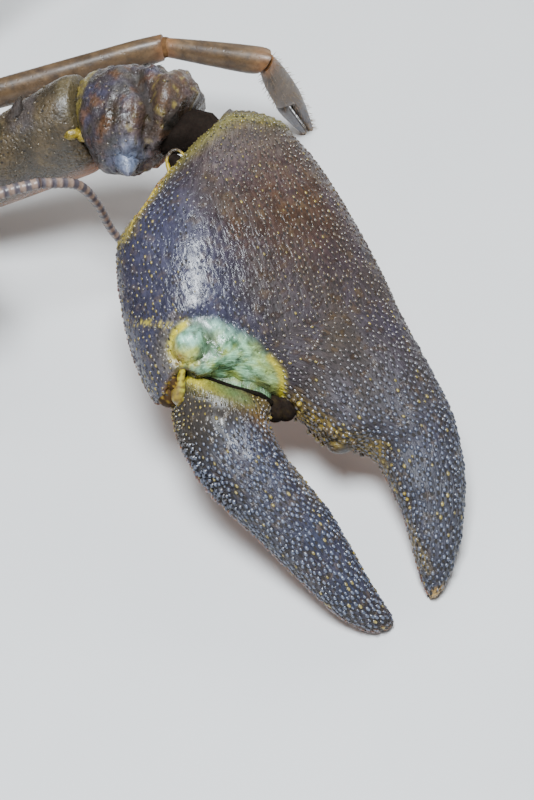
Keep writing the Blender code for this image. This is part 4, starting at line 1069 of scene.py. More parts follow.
CLAW_BLUE, CLAW_SLATE = (0.034, 0.036, 0.066), (0.026, 0.03, 0.048)
CLAW_UNDER, CLAW_TIP = (0.36, 0.1, 0.03), (0.44, 0.25, 0.04)
# the last of these is the near black of painted shade in gaps
YELLOW_EDGE, SPECK, GAP_SHADE = (0.5, 0.42, 0.03), (0.13, 0.085, 0.035), (0.012, 0.009, 0.005)


print("corners of the patch:", len(PATCH))


# %% Distances to the marks
def inside(u, v, corners):
    """Distance inside an outline, negative outside."""
    corners = np.array(corners, float)
    gap = np.full(np.shape(u), 1e9)
    within = np.zeros(np.shape(u), bool)
    for (u0, v0), (u1, v1) in zip(corners, np.roll(corners, -1, 0)):
        du, dv = u1 - u0, v1 - v0
        share = np.clip(((u - u0) * du + (v - v0) * dv) / (du * du + dv * dv), 0, 1)
        gap = np.minimum(gap, np.hypot(u - u0 - share * du, v - v0 - share * dv))
        within ^= ((v0 > v) != (v1 > v)) & (u < du * (v - v0) / (dv if dv else 1e-9) + u0)
    return np.where(within, gap, -gap)


def lines(u, v, mark):
    return sum(strength * near_line(u, v, start, end, width) for start, end, width, strength in mark)


def collar_line(u, v, width):
    """The finger's edge along its joint with the palm."""
    corners = [(31.0, 18.0), (34.1, 16.6), (36.8, 14.0), (39.8, 9.8)]
    return np.max([near_line(u, v, start, end, width) for start, end in zip(corners, corners[1:])], axis=0)


def carpus_groove(u, v, n):
    """The curved furrow along the top of the carpus."""
    corners = [(-7.0, 7.4), (-2.4, 7.6), (1.6, 9.4)]
    furrow = np.max([near_line(u, v, start, end, 0.95) for start, end in zip(corners, corners[1:])], axis=0)
    return furrow * ease(n, 0.5, 3.0)


def knuckle_distance(u, v):
    return np.hypot(u - KNUCKLE[0], v - KNUCKLE[1])


def strands(a, b, size, seed=82):
    return mottle(np.column_stack([a, b, 0 * a]), size, seed, 2)


print("the knuckle lies", inside(*KNUCKLE, PATCH).round(1), "mm inside the patch")


# %% [markdown]
# The palm isn't a smooth pillow. The patch bulges, its knuckle stands out like a button, a crest runs back
# to the wrist, and the notch at the finger's joint sinks in. Each is a soft bump in the claw's plane, added
# along the surface's own normals, so the outline stays as it was drawn.

# %% Relief of palm and finger
def palm_lift(u, v, n):
    """Height of the palm's own relief above its plain form."""
    upper = ease(n, -0.5, 2.0)
    patch, knuckle = inside(u, v, PATCH), knuckle_distance(u, v)
    crest = np.interp(u, *np.transpose(CREST_ROW))
    fibres = 0.14 * strands(0.5 * u + 0.4 * v, v, 0.9) + 0.12 * mottle(np.column_stack([u, v, n]), 2.4, 83)
    lift = 0.5 * ease(patch, -0.4, 1.8)
    lift -= 0.3 * bell(patch, -0.5, 0.4) * ease(u + 0.6 * v, 38, 36)
    lift += 1.35 * np.sqrt(np.clip(1 - (knuckle / 2.0) ** 2, 0, 1)) - 0.45 * bell(knuckle, 2.2, 0.45)
    lift -= 2.4 * ease(inside(u, v, NOTCH), -0.1, 0.6)
    lift += fibres * ease(patch, 0.0, 1.0)
    lift -= 0.45 * near_line(u, v, (36.0, 11.4), (38.4, 8.6), 0.7)
    lift += 0.35 * bell(v, crest, 3.2) * (1 - ease(u, 24, 30))
    lift -= 0.35 * bell(v, crest + 6.5, 2.4) * (1 - ease(u, 20, 28)) * ease(u, 6, 12)
    lift -= 0.45 * bell(v, -3.0, 2.6) * bell(u, 44.0, 9.0)
    return (lift + 0.3 * bell(u - 0.35 * np.abs(v + 1.5), 3.0, 0.9)) * upper


def dactyl_lift(u, v, n):
    """The finger's base dips toward the joint, behind a low rounded rim."""
    blade = ease(u, 39, 46) * (1 - ease(u, 58, 66))
    lift = 0.4 * near_line(u, v, (32.6, 18.6), (37.0, 15.4), 0.9)
    lift -= 0.95 * near_line(u, v, (34.6, 14.4), (37.4, 10.4), 1.5)
    keel = 0.25 * bell(v, 15.6 - 0.3 * (u - 42), 2.4) - 0.2 * bell(v, 18.6 - 0.36 * (u - 42), 1.2)
    return (lift + keel * blade) * ease(n, 0.5, 3.0)


print("the knuckle stands", palm_lift(*np.array([[29.4], [17.2], [7.0]])).round(1)[0], "mm proud")


# %% [markdown]
# The colours are painted in the same plane as the relief, so that they fit it. The patch is mixed apart and
# laid over the brown palm by the distance inside its outline, which gives it a soft edge.

# %% Paint of the patch and the knuckle
def patch_green(p, fibres):
    shade = ease(0.45 * mottle(p, 1.8, 23) + 0.55 * fibres, -0.42, 0.35)
    yellow = 0.6 * spots(p, 2.4, 38, -0.05, 0.6)
    return coats((0.045, 0.105, 0.042), ((0.25, 0.5, 0.3), shade), ((0.28, 0.32, 0.05), yellow))


def paint_patch(p, u, v, knuckle, fibres):
    return coats(
        patch_green(p, fibres),
        ((0.21, 0.36, 0.33), 0.55 * ease(31.8 - u - 0.45 * (v - 13), 0, 3.0)),
        ((0.28, 0.36, 0.1), 0.7 * near_line(u, v, (32.8, 9.7), (38.0, 8.2), 1.0)),
        # painted shade in the fold at the patch's outer end
        ((0.1, 0.07, 0.02), 0.65 * near_line(u, v, (35.8, 11.2), (38.2, 8.8), 0.7)),
        # a painted ring of shade in the groove round the knuckle
        ((0.05, 0.07, 0.03), 0.7 * bell(knuckle, 2.3, 0.4) * ease(u - 0.5 * v, 21.0, 23.0)),
        # painted shade on the knuckle's outer side, broken by its dark fibres
        ((0.04, 0.065, 0.035), 0.85 * bell(knuckle, 2.5, 0.75) * ease(17.9 - v, 0, 1.2)
         * (0.5 + 0.5 * ease(fibres, -0.3, 0.3))),
    )


def paint_knuckle(u, v, fibres):
    return coats(
        (0.1, 0.22, 0.13),
        ((0.27, 0.52, 0.4), ease(strands(0.45 * u - 0.3 * v, 0.8 * v, 0.75, 86), -0.55, 0.15)),
        ((0.4, 0.4, 0.05), ease(u + 0.5 * v, 38.3, 39.8)),
        # the knuckle's outer side is darker: partly its dark fibres, partly painted shade
        ((0.05, 0.095, 0.055), 0.85 * ease(fibres, -0.3, 0.4) * ease(17.3 - v, -0.2, 1.0)),
    )


print("the knuckle's colour:", paint_knuckle(*KNUCKLE, 0.0).round(2))


# %% Paint of the palm
palm_middle = left_claw.point(18.0, 4.0, 9.0)[None]


def paint_palm(claw, p):
    u, v, n = claw.place(p)
    upper = ease(n, 0.0, 1.6)
    knuckle, fibres = knuckle_distance(u, v), strands(0.5 * u + 0.4 * v, v, 0.8)
    warm = np.exp(-((u - WARM_PLACE[0]) ** 2 + (v - WARM_PLACE[1]) ** 2) / 9.5**2)
    shoulder = bell(u - 0.35 * np.abs(v + 1.5), 2.6, 1.3) * ease(n, 0.5, 3.0)
    left = ease(v - KNUCKLE[1] + 0.45 * (KNUCKLE[0] - u), 0.2, 1.2)
    edge = lines(u, v, PATCH_EDGE) + 0.95 * bell(knuckle, 2.15, 0.32) * left
    notch = mix((0.15, 0.07, 0.018), (0.035, 0.02, 0.008), cloud(p, 1.4, 39))
    cutting = np.clip(lines(u, v, CUTTING_EDGE), 0, 1) * (0.35 + 0.65 * spots(p, 1.1, 30, -0.3, 0.4))
    return coats(
        mix(CLAW_BROWN, CLAW_VIOLET, 0.35 + 0.4 * mottle(p, 12, 21)),
        # blue over the inner half, where the highlight falls: partly the shell's colour, partly a painted
        # bluish sheen
        (CLAW_BLUE, 0.75 * ease(v + 0.25 * mottle(p, 5, 35), 4.0, 12.0) * ease(u, 6, 12)),
        (CLAW_WARM, 0.85 * warm * (0.75 + 0.25 * mottle(p, 3, 26))),
        (CLAW_WARM, 0.5 * near_line(u, v, (8.0, 4.4), (22.0, 6.6), 1.0) * spots(p, 4, 37, -0.3, 0.5)),
        (CLAW_SLATE, 0.65 * ease(u, 36, 56)),
        (SPECK, 0.3 * spots(p, 2.0, 22, 0.4, 1.0)),
        ((0.17, 0.15, 0.035), 0.7 * shoulder),
        (paint_patch(p, u, v, knuckle, fibres), ease(inside(u, v, PATCH), -0.7, 0.9) * upper),
        (paint_knuckle(u, v, fibres), 0.95 * ease(1.9 - knuckle, 0, 0.5) * upper),
        (notch, 0.9 * ease(inside(u, v, NOTCH), -0.5, 0.1) * upper),
        (YELLOW_EDGE, np.clip(edge, 0, 0.9) * ease(n, -0.5, 1.0)),
        ((0.2, 0.1, 0.02), 0.9 * near_line(u, v, (30.6, 19.0), (30.6, 19.0), 0.45) * upper),
        # painted shade along the crack between the patch and the finger
        (GAP_SHADE, np.clip(lines(u, v, CRACK_SHADE), 0, 1) * 0.9 * ease(6.0 - n, 0, 1.0)),
        ((0.5, 0.4, 0.04), 0.9 * near_line(u, v, *DOT_ROW, 0.3) * spots(p, 0.8, 29, -0.1, 0.4) * upper),
        ((0.26, 0.2, 0.03), 0.85 * np.clip(lines(u, v, WRIST_RIM), 0, 1) * ease(n, -3.0, 0.0)
         * ease(6.0 - n, 0, 2.5)),
        ((0.14, 0.11, 0.03), 0.4 * ease(5.2 - knuckle, 0, 3) * (v > 19) * upper),
        # painted shade in the recess at the wrist, where the palm's base sits in the carpus
        (DARK, ease(1.8 - u + 0.3 * v, 0, 1.0) * (v > -3.2) * ease(3.2 - n, 0, 0.8)),
        (mix(CLAW_UNDER, ORANGE, cloud(p, 6, 24)), 0.9 * ease(-n, 0.6, 3.2)),
        ((0.34, 0.23, 0.03), 0.7 * cutting),
        (CLAW_TIP, 0.9 * ease(u, 68.0, 68.9)),
        (CREAM, 0.3 * ease(u, 68.8, 69.3)),
    )


print("coats of the palm's paint at its middle give", paint_palm(left_claw, palm_middle).round(3)[0])


# %% Paint of the finger and the arm
def paint_dactyl(claw, p):
    u, v, n = claw.place(p)
    upper, edges = ease(n, 0.5, 2.5), ease(n, -1, 1)
    band = mix((0.1, 0.15, 0.055), (0.34, 0.3, 0.04), ease(v, 13.5, 17.5))
    strip = mix(patch_green(p, strands(0.5 * u + 0.4 * v, v, 0.8)), (0.07, 0.085, 0.025), 0.6)
    return coats(
        mix((0.036, 0.027, 0.03), CLAW_SLATE, 0.45 + 0.4 * mottle(p, 8, 31)),
        ((0.034, 0.038, 0.07), 0.5 * bell(v, 15.6 - 0.3 * (u - 42), 3.0) * ease(u, 37, 42) * upper),
        ((0.023, 0.017, 0.012), 0.92 * ease(42.5 - u + 0.35 * (v - 14), 0, 4.5)),
        ((0.16, 0.085, 0.022), 0.75 * near_line(u, v, (37.6, 13.4), (42.0, 10.8), 1.5) * edges),
        (band, 0.9 * collar_line(u, v, 1.25) * ease(v, 10.6, 13.6) * upper),
        ((0.5, 0.42, 0.04), 0.9 * near_line(u, v, (31.2, 18.2), (34.0, 17.4), 0.5) * edges),
        ((0.17, 0.12, 0.04), 0.6 * ease(11.8 - v, 0, 1.6) * (u > 38) * (1 - ease(u, 48, 56))),
        (SPECK, 0.35 * spots(p, 1.8, 33, 0.4, 1.0)),
        # painted shade in the gap along the finger's joint with the palm
        (GAP_SHADE, 0.9 * collar_line(u + 1.5, v + 0.9, 0.5) * (v < 17)),
        (strip, ease(inside(u, v, JOINT_STRIP), -0.15, 0.1) * upper),
        (mix(CLAW_UNDER, ORANGE, cloud(p, 6, 32)), 0.9 * ease(-n, 0.5, 2.6)),
        ((0.16, 0.075, 0.02), 0.8 * ease(u, 69.6, 70.6)),
    )


def paint_carpus(claw, arm, p):
    u, v, n = claw.place(p)
    share = arm.share_of(p)
    flange = ease(share + 0.02 * ((p - arm.start) @ arm.across), 0.64, 0.76)
    return coats(
        mix((0.044, 0.031, 0.025), (0.042, 0.038, 0.058), cloud(p, 5, 41)),
        ((0.036, 0.033, 0.018), 0.5 * spots(p, 3, 47, 0.1, 0.8)),
        ((0.12, 0.052, 0.018), 0.55 * spots(p, 3.4, 42, 0.15, 0.8)),
        ((0.084, 0.046, 0.024), 0.75 * flange * (0.75 + 0.25 * mottle(p, 2.5, 46))),
        ((0.24, 0.18, 0.04), 0.6 * spots(p, 1.6, 43, 0.35, 0.8) * flange),
        ((0.26, 0.2, 0.03), 0.8 * ease(0.085 - share, 0, 0.04) * (0.6 + 0.4 * mottle(p, 1.6, 48))),
        # a painted blue-white highlight on the carpus's lower lobe
        ((0.15, 0.19, 0.29), 0.8 * near_line(u, v, (2.0, 12.0), (4.0, 9.6), 2.0) * ease(n, -4, -1)),
        # painted shade in the furrow along the top of the carpus
        (DARK, 0.9 * carpus_groove(u, v, n)),
        # near black at the carpus's end inside the socket: painted shade of the recess at the wrist
        ((0.012, 0.008, 0.005), 0.95 * ease(share, 0.885, 0.895) * ease(u, -1.5, 0.5)),
        (CLAW_UNDER, 0.8 * ease(-arm.height_of(p), 3.0, 5.0)),
    )


def paint_arm(arm, p, rim=0.94):
    return coats(
        mix((0.038, 0.029, 0.018), (0.07, 0.05, 0.027), cloud(p, 4, 51, 4)),
        ((0.055, 0.05, 0.066), 0.4 * spots(p, 9, 52, 0, 1)),
        ((0.13, 0.09, 0.035), 0.4 * spots(p, 1.8, 53, 0.4, 1.0)),
        ((0.075, 0.058, 0.026), 0.7 * ease(arm.share_of(p), rim, rim + 0.05)),
        (mix(CLAW_UNDER, ORANGE, 0.6), 0.7 * ease(-arm.height_of(p), 1.5, 4.5)),
    )


finger_middle = left_claw.point(50.0, 14.0, 3.0)[None]
print("the finger's colour in its middle:", paint_dactyl(left_claw, finger_middle).round(3)[0])


# %% [markdown]
# The arm that carries the claw has four shells: two short ones at the body, the long merus, and the lumpy
# carpus behind the palm. Each is a limb between two joints. The palm and the finger are the outlines from
# above, with their relief added along the surface's own normals. Blunt teeth stand on their cutting edges.

# %% Arm
ARM_BASE = [(0.0, 3.6, 3.3, 3.0), (0.5, 4.0, 3.6, 3.2), (1.0, 3.7, 3.4, 3.2)]
ARM_ISCHIUM = [(0.0, 3.4, 3.3, 3.2), (1.0, 3.5, 4.2, 4.0)]
ARM_MERUS = [(0.0, 3.3, 4.0, 4.0), (0.25, 4.2, 5.4, 5.2), (0.75, 5.0, 7.2, 6.6), (0.93, 5.2, 7.6, 7.0),
             (1.0, 4.8, 7.0, 6.6)]
ARM_CARPUS = [(0.0, 4.8, 5.4, 4.6), (0.12, 6.2, 6.6, 4.8), (0.4, 7.5, 7.8, 5.0), (0.65, 7.3, 7.8, 5.0),
              (0.85, 6.3, 7.2, 5.2), (1.0, 4.6, 5.4, 4.8)]
SOCKET_DEPTH = 1.5
KNOBS = [((-0.6, 3.9, 3.3), (1.3, 1.1, 0.9)), ((0.5, 4.2, 2.2), (1.0, 1.0, 0.9)),
         ((1.0, 4.6, -0.6), (1.0, 1.2, 1.5))]


def make_arm(claw):
    root, stub, far, _ = claw.spans[:4]
    base = [limb(root, ARM_BASE, 36, 16), limb(stub, ARM_ISCHIUM, 36, 16, ends=(0.04, 1.0), trim=(0.0, 0.15))]
    claw.add("base", base, LIMB, partial(paint_arm, stub, rim=0.92), True)
    merus = limb(far, ARM_MERUS, 72, 60, trim=(0.15, 0.15))
    spikes = [
        spine(far.start + far.along * 17 + far.up * 6.0, far.start + far.along * 20.4 + far.up * 9.4, 1.2),
        spine(far.start + far.along * 17 - far.up * 5.0, far.start + far.along * 20.6 - far.up * 8.6, 1.2),
    ]
    claw.add("merus", [merus] + spikes, CLAW, partial(paint_arm, far), True)
    seat = far.start + far.along * 0.965 * far.length
    knobs = [ball(seat + far.along * a + far.across * b + far.up * c, radii) for (a, b, c), radii in KNOBS]
    claw.add("elbow_knob", knobs, CLAW, plain((0.19, 0.135, 0.012), 0.7, 1.0, 64))
    return merus


def make_carpus(claw):
    arm = claw.spans[3]
    carpus = limb(arm, ARM_CARPUS, 96, 70, trim=(0.15, SOCKET_DEPTH))
    flat = carpus.reshape(-1, 3)
    u, v, n = claw.place(flat)
    share = arm.share_of(flat)
    lift = -1.25 * carpus_groove(u, v, n) + 0.34 * mottle(flat, 4.0, 44, 4) * bell(share, 0.55, 0.4)
    lift += 0.1 * mottle(flat, 1.2, 49, 2)
    lift += 0.35 * near_line(u, v, (-7.0, 10.6), (0.0, 11.4), 1.6) * (n > 0)
    lift += 0.5 * near_line(u, v, (-6.4, 5.0), (-0.6, 5.2), 1.3) * (n > 0)
    lift += 0.5 * bell(share, 0.86, 0.05) - 0.4 * bell(share, 0.74, 0.045)
    carpus = lifted(carpus, lift)
    foot, tip = (arm.start + arm.along * a + arm.across * b for a, b in ((7.0, 5.4), (8.8, 9.0)))
    claw.add("carpus", [carpus, spine(foot, tip, 2.4)], CLAW, partial(paint_carpus, claw, arm), True)
    return carpus


print("the arm's pieces are", [float(span.length.round(1)) for span in left_claw.spans[:4]], "mm long")


# %% Palm and finger
PALM_TEETH = [(41.2, 5.2, 1.3), (46.2, 2.8, 1.9), (51.5, -2.3, 0.9), (55.0, -2.2, 0.8), (59.0, -1.8, 0.7)]
DACTYL_TEETH = [(42.5, 11.0, 1.0), (46.5, 10.6, 1.2), (51.0, 9.4, 0.9), (55.5, 8.6, 0.8), (60.0, 7.9, 0.7)]


def tooth(claw, along, inward, size, outward):
    base = claw.point(along - 0.3 * size, inward - 1.6 * size * outward, -0.4)
    way = claw.point(along + 0.2, inward + 0.62 * size * outward, -0.4) - base
    axes = np.array([claw.along, claw.up, unit(way)])
    return ball(base + way * 0.3, (1.15 * size, 1.1 * size, np.linalg.norm(way) * 0.72), axes, 18, 12)


def make_blade(claw, name, rows, count, around, relief, blotch, teeth, outward, paint):
    grid = blade_grid(claw, rows, count, around)
    flat = grid.reshape(-1, 3)
    strength, size, seed = blotch
    grid = resting(lifted(grid, relief(*claw.place(flat)) + strength * mottle(flat, size, seed, 2)))
    teeth = [tooth(claw, *place, outward) for place in teeth]
    claw.add(name, [grid] + teeth, CLAW, partial(paint, claw), True, claw_flow(claw, rows))
    return grid


def make_blades(claw):
    palm = make_blade(claw, "palm", PALM_ROWS, 230, 168, palm_lift, (0.05, 3.0, 25), PALM_TEETH, 1.0,
                      paint_palm)
    dactyl = make_blade(claw, "dactyl", DACTYL_ROWS, 170, 112, dactyl_lift, (0.04, 2.5, 84), DACTYL_TEETH,
                        -1.0, paint_dactyl)
    return palm, dactyl


print("teeth on each claw:", len(PALM_TEETH) + len(DACTYL_TEETH))


# %% [markdown]
# Between the hard shells lies soft skin, dull, and painted near black at the wrist and under the finger's
# joint as the shade in these deep joints. At the finger's joint the horn folds into a small yellow lobe, and
# at the wrist the palm's thin rim curls up over a hollow whose shade is a near-black ball. These are short
# tubes and flattened balls. The crack's shade is a thin dark tube that has to follow the real surface, so it
# takes its height from the nearest point of the palm or finger.

# %% Skins and folds at the joints
FOLD = [(31.0, 18.3, 5.2), (31.9, 18.8, 4.3), (32.9, 19.4, 3.4), (34.0, 20.0, 2.5), (35.0, 20.2, 1.6)]
CLEFT = [((33.0, 20.4, 0.6), (1.6, 2.0, 1.5)), ((32.0, 20.0, 3.0), (1.3, 1.1, 0.9)),
         ((39.3, 8.4, -0.3), (1.9, 1.9, 1.5)), ((39.8, 7.1, -0.2), (1.8, 1.8, 1.5))]
# near black: the painted shade of the skin in the deep joints
SHADED_SKIN = (0.012, 0.008, 0.006)


def taper(count, places, radii):
    return np.interp(np.linspace(0, 1, count), places, radii)


def make_skins(claw):
    slanted = np.array([unit(claw.along * 0.65 - claw.inward * 0.76), claw.up,
                        unit(claw.along * 0.76 + claw.inward * 0.65)])
    # the neck tube at the wrist and the ball under the finger's joint are skin painted near black as shade
    neck = [claw.wrist - 3.4 * claw.spans[3].along, claw.point(1.8, 1.0, -0.3), claw.point(6.0, -0.6, -0.5)]
    skin = [tube(neck, [3.4, 2.9, 2.7], 28), ball(claw.point(34.4, 15.6, 0.0), (6.4, 3.4, 2.0), slanted)]
    claw.add("joint_skin", skin, SKIN, plain(SHADED_SKIN, 0.35, 1.5, 61))

    def cleft_paint(p):
        colour = mix((0.045, 0.024, 0.01), (0.24, 0.15, 0.02), spots(p, 0.9, 65, 0.1, 0.7))
        # beyond the crack's end the balls are near black, painted shade in the hollow there
        return mix(colour, (0.013, 0.009, 0.007), 0.95 * (claw.place(p)[0] > 37.0))

    cleft = [ball(claw.point(*place), radii, claw.upright) for place, radii in CLEFT]
    claw.add("cleft_skin", cleft, SKIN, cleft_paint)

    def lobe_paint(p):
        u, v, _ = claw.place(p)
        return coats((0.36, 0.31, 0.02), ((0.42, 0.4, 0.06), ease(u, 32.6, 34.2)),
                     ((0.16, 0.09, 0.015), 0.8 * ease(v, 19.3, 20.0)),
                     ((0.1, 0.06, 0.015), 0.8 * spots(p, 0.7, 62, -0.1, 0.4)))

    fold = smooth_path([claw.point(*place) for place in FOLD], 40)
    lobe = tube(fold, taper(40, (0, 0.3, 0.6, 0.85, 1.0), (0.28, 0.5, 0.9, 0.9, 0.25)), 20, 0.8)
    claw.add("finger_lobe", [lobe], HORN, lobe_paint)
    return slanted


print("the fold is", run_of(np.array(FOLD))[-1].round(1), "mm long")


# %% The crack's painted shade and the curled rim
CURL = [(-1.0, -2.2, 1.3), (-1.7, -1.9, 1.4), (-2.1, -1.2, 1.1), (-1.8, -0.45, 0.6), (-0.9, -0.1, 0.2)]


def make_crack_shade(claw, palm, dactyl):
    """A dark tube as painted shade in the crack between the patch and the finger's base."""
    along, inward, up = claw.place(np.concatenate([palm.reshape(-1, 3), dactyl.reshape(-1, 3)]))
    path = []
    for u, v in CRACK:
        gap = (along - u) ** 2 + (inward - v) ** 2 + 99.0 * (up < 1.5)
        path.append(claw.point(u, v, up[gap.argmin()] + 0.06))
    size = taper(60, (0, 0.15, 0.6, 0.85, 1.0), (0.1, 0.24, 0.2, 0.34, 0.3))
    crack = tube(smooth_path(path, 60), size, 10)
    # the near-black tube is painted shade in the crack
    claw.add("joint_crack", [crack], SKIN, plain((0.008, 0.006, 0.004), 0.3, 1.0, 67))


def make_rim(claw, palm, slanted):
    """The thin rim on the palm's inner edge, which curls up at the wrist over a near-black ball, painted
    shade in the hollow there.
    """
    rim = palm[33:68, 9]
    start = claw.place(rim[0])[0]

    def rim_paint(p):
        colour = mix((0.36, 0.26, 0.02), (0.15, 0.075, 0.02), spots(p, 2.2, 63, -0.1, 0.5))
        return mix(colour, (0.05, 0.035, 0.022), ease(start - 1.35 - claw.place(p)[0], 0, 0.5))

    curl = [rim[0] + claw.point(*step) - claw.origin for step in CURL]
    size = taper(80, (0, 0.08, 0.3, 0.7, 1.0), (0.14, 0.22, 0.3, 0.22, 0.1))
    claw.add("hook", [tube(smooth_path(np.concatenate([curl, rim[::6]]), 80), size, 12)], CLAW, rim_paint)
    # a near-black ball as painted shade in the hollow under the curl
    hollow = ball(rim[0] + claw.point(-1.0, -1.2, 0.1) - claw.origin, (1.2, 1.0, 0.9), slanted)
    claw.add("hook_skin", [hollow], SKIN, plain(SHADED_SKIN, 0.35, 1.5, 68))


print("the crack is", run_of(np.array(CRACK))[-1].round(1), "mm long")


# %% [markdown]
# Tubercles stand in rough rows over the claw, larger on the fingers, pale at their tips, and golden along
# the edges. They leave the smooth patch free. Blunt granules line the cutting edges of both fingers.

# %% Granules on the cutting edges
GRANULE_HEIGHTS, GRANULE_PLACES, LEFT_OUT = (-0.45, 0.0, 0.45), 34, 0.25


def make_cutting_granules(claw):
    rng = np.random.default_rng(66)
    places, facing, sizes, colours = [], [], [], []
    for rows, outward, first, last in ((PALM_ROWS, 1.0, 0.7, 0.985), (DACTYL_ROWS, -1.0, 0.16, 0.95)):
        for share in np.linspace(first, last, GRANULE_PLACES):
            _, _, iu, iv, top, bottom, _, drop = curve(rows, share)[0]
            for height in GRANULE_HEIGHTS:
                if rng.uniform() < LEFT_OUT:
                    continue
                places.append(claw.point(iu + rng.uniform(-0.2, 0.2), iv - outward * (0.1 + 0.9 * height**2),
                                         drop + (top + bottom) / 2 * height + rng.uniform(-0.1, 0.1)))
                facing.append(claw.inward * outward + claw.up * height * 1.6)
                sizes.append(rng.uniform(0.2, 0.4) * (1.2 if share < 0.84 and outward > 0 else 0.85))
                colours.append(mix((0.1, 0.07, 0.04), (0.44, 0.31, 0.05), rng.uniform(0.0, 1.0) ** 2))
    sizes, colours = np.array(sizes), np.array(colours)
    scatter(f"claw_{claw.side}_cutting_granules", DOME, GRAIN, np.array(places), unit(np.array(facing)),
            np.column_stack([sizes, sizes, 0.85 * sizes]), colours * 0.6, colours, claw.turned,
            claw.along)


print("rows of granules on each cutting edge:", len(GRANULE_HEIGHTS))


# %% Tubercles of palm and finger
PALE_BLUE, GOLD, UNDER_TIP = (0.12, 0.14, 0.21), (0.33, 0.25, 0.045), (0.45, 0.19, 0.07)


def golden(p, seed, share):
    """True for a few of the points, more of them where the share is large."""
    return np.random.default_rng(seed).uniform(size=len(p)) < share


def make_palm_tubercles(claw, palm):
    def keep(p, facing):
        u, v, n = claw.place(p)
        size = (0.85 + 0.3 * ease(u, 30, 46)) * np.where(inside(u, v, PATCH) > -0.45, (n < 0) * 1.0, 1.0)
        size *= 1 - 0.3 * bell(v, np.interp(u, *np.transpose(CREST_ROW)), 2.4) * (u < 27) * (n > 2)
        size *= ~golden(p, 78, 0.45 * ease(v, 1, 7) * (u < 28)) * (u > 1.6) * (u < 68.6)
        return size * np.where(n < -2.0, 0.8, 1.0)

    def tops(p):
        u, v, n = claw.place(p)
        share = 0.05 + 0.35 * ease(v, 14, 18) * (u < 33) + 0.4 * ease(7 - u, 0, 4)
        share += 0.12 * ease(v, -1.0, 2.0) * (u > 48) + 0.9 * near_line(u, v, *DOT_ROW, 0.5)
        share += 0.6 * near_line(u, v, (11.6, 16.0), (14.0, 17.6), 1.6)
        return coats((0.14, 0.105, 0.065), ((0.115, 0.13, 0.18), ease(u, 28, 50)),
                     (PALE_BLUE, 0.8 * bell(v, 13.0, 6.0) * (u < 30)), (GOLD, 0.85 * golden(p, 75, share)),
                     (UNDER_TIP, 0.85 * ease(-n, 0.8, 3.0)))

    claw.add_grains("palm_tubercles", palm, 172, 0.74, 0.255, 0.2, keep, partial(paint_palm, claw), tops, 71,
                    longer=1.35)


def make_dactyl_tubercles(claw, dactyl):
    def keep(p, facing):
        u, v, n = claw.place(p)
        size = (0.75 + 0.3 * ease(u, 36, 44)) * (1 - collar_line(u, v, 1.3) * (n > 0) * (v > 12)) * (u > 32.8)
        size *= (n < 0.5) | (inside(u, v, JOINT_STRIP) < -0.2)
        return size * (u < 70.2) * np.where(n < -2, 0.8, 1.0)

    def tops(p):
        u, v, n = claw.place(p)
        return coats((0.17, 0.12, 0.05), ((0.13, 0.15, 0.21), ease(u, 36, 42)),
                     (GOLD, 0.85 * golden(p, 77, 0.07 + 0.25 * ease(41 - u, 0, 4))),
                     (UNDER_TIP, 0.85 * ease(-n, 0.6, 2.6)))

    def taller(p):
        u, v, n = claw.place(p)
        outer = np.interp(u, [r[1] for r in DACTYL_ROWS], [r[2] for r in DACTYL_ROWS])
        return ease(v - outer, -1.8, -0.4) * (u < 50) * (n > -2.5)

    claw.add_grains("dactyl_tubercles", dactyl, 112, 0.68, 0.255, 0.23, keep, partial(paint_dactyl, claw),
                    tops, 72, taller=taller, longer=1.6)


print("golden tips of 1000 at a share of 0.1:", golden(np.zeros(1000), 1, 0.1).sum())


# %% Tubercles of the arm
def make_arm_tubercles(claw, carpus, merus):
    far, arm = claw.spans[2:4]

    def carpus_keep(p, facing):
        share = arm.share_of(p)
        free = 1 - carpus_groove(*claw.place(p))
        return 0.8 * spots(p, 7.0, 45, -0.3, 0.3) * free * (share > 0.08) * (share < 0.88)

    def merus_keep(p, facing):
        share = far.share_of(p)
        return 0.9 * ease(facing @ far.up, -0.2, 0.5) * (share > 0.1) * (share < 0.9)

    claw.add_grains("carpus_tubercles", carpus, 60, 1.2, 0.27, 0.16, carpus_keep,
                    partial(paint_carpus, claw, arm), (0.15, 0.12, 0.085), 73)
    claw.add_grains("merus_tubercles", merus, 40, 1.4, 0.26, 0.2, merus_keep, partial(paint_arm, far),
                    (0.15, 0.11, 0.06), 74)


# %% Both claws
for claw_side in SIDES:
    made_claw = Claw(claw_side)
    merus_grid = make_arm(made_claw)
    carpus_grid = make_carpus(made_claw)
    palm_grid, dactyl_grid = make_blades(made_claw)
    joint_axes = make_skins(made_claw)
    make_crack_shade(made_claw, palm_grid, dactyl_grid)
    make_rim(made_claw, palm_grid, joint_axes)
    make_cutting_granules(made_claw)
    make_palm_tubercles(made_claw, palm_grid)
    make_dactyl_tubercles(made_claw, dactyl_grid)
    make_arm_tubercles(made_claw, carpus_grid, merus_grid)


# %% [markdown]
# Eight walking legs carry the animal, and each leaves the breast plate at its own heading. The joints are
# given as reaches from the root and heights over the floor, so that every leg ends on the floor. Only the
# left leg that the photo shows has joints of its own.

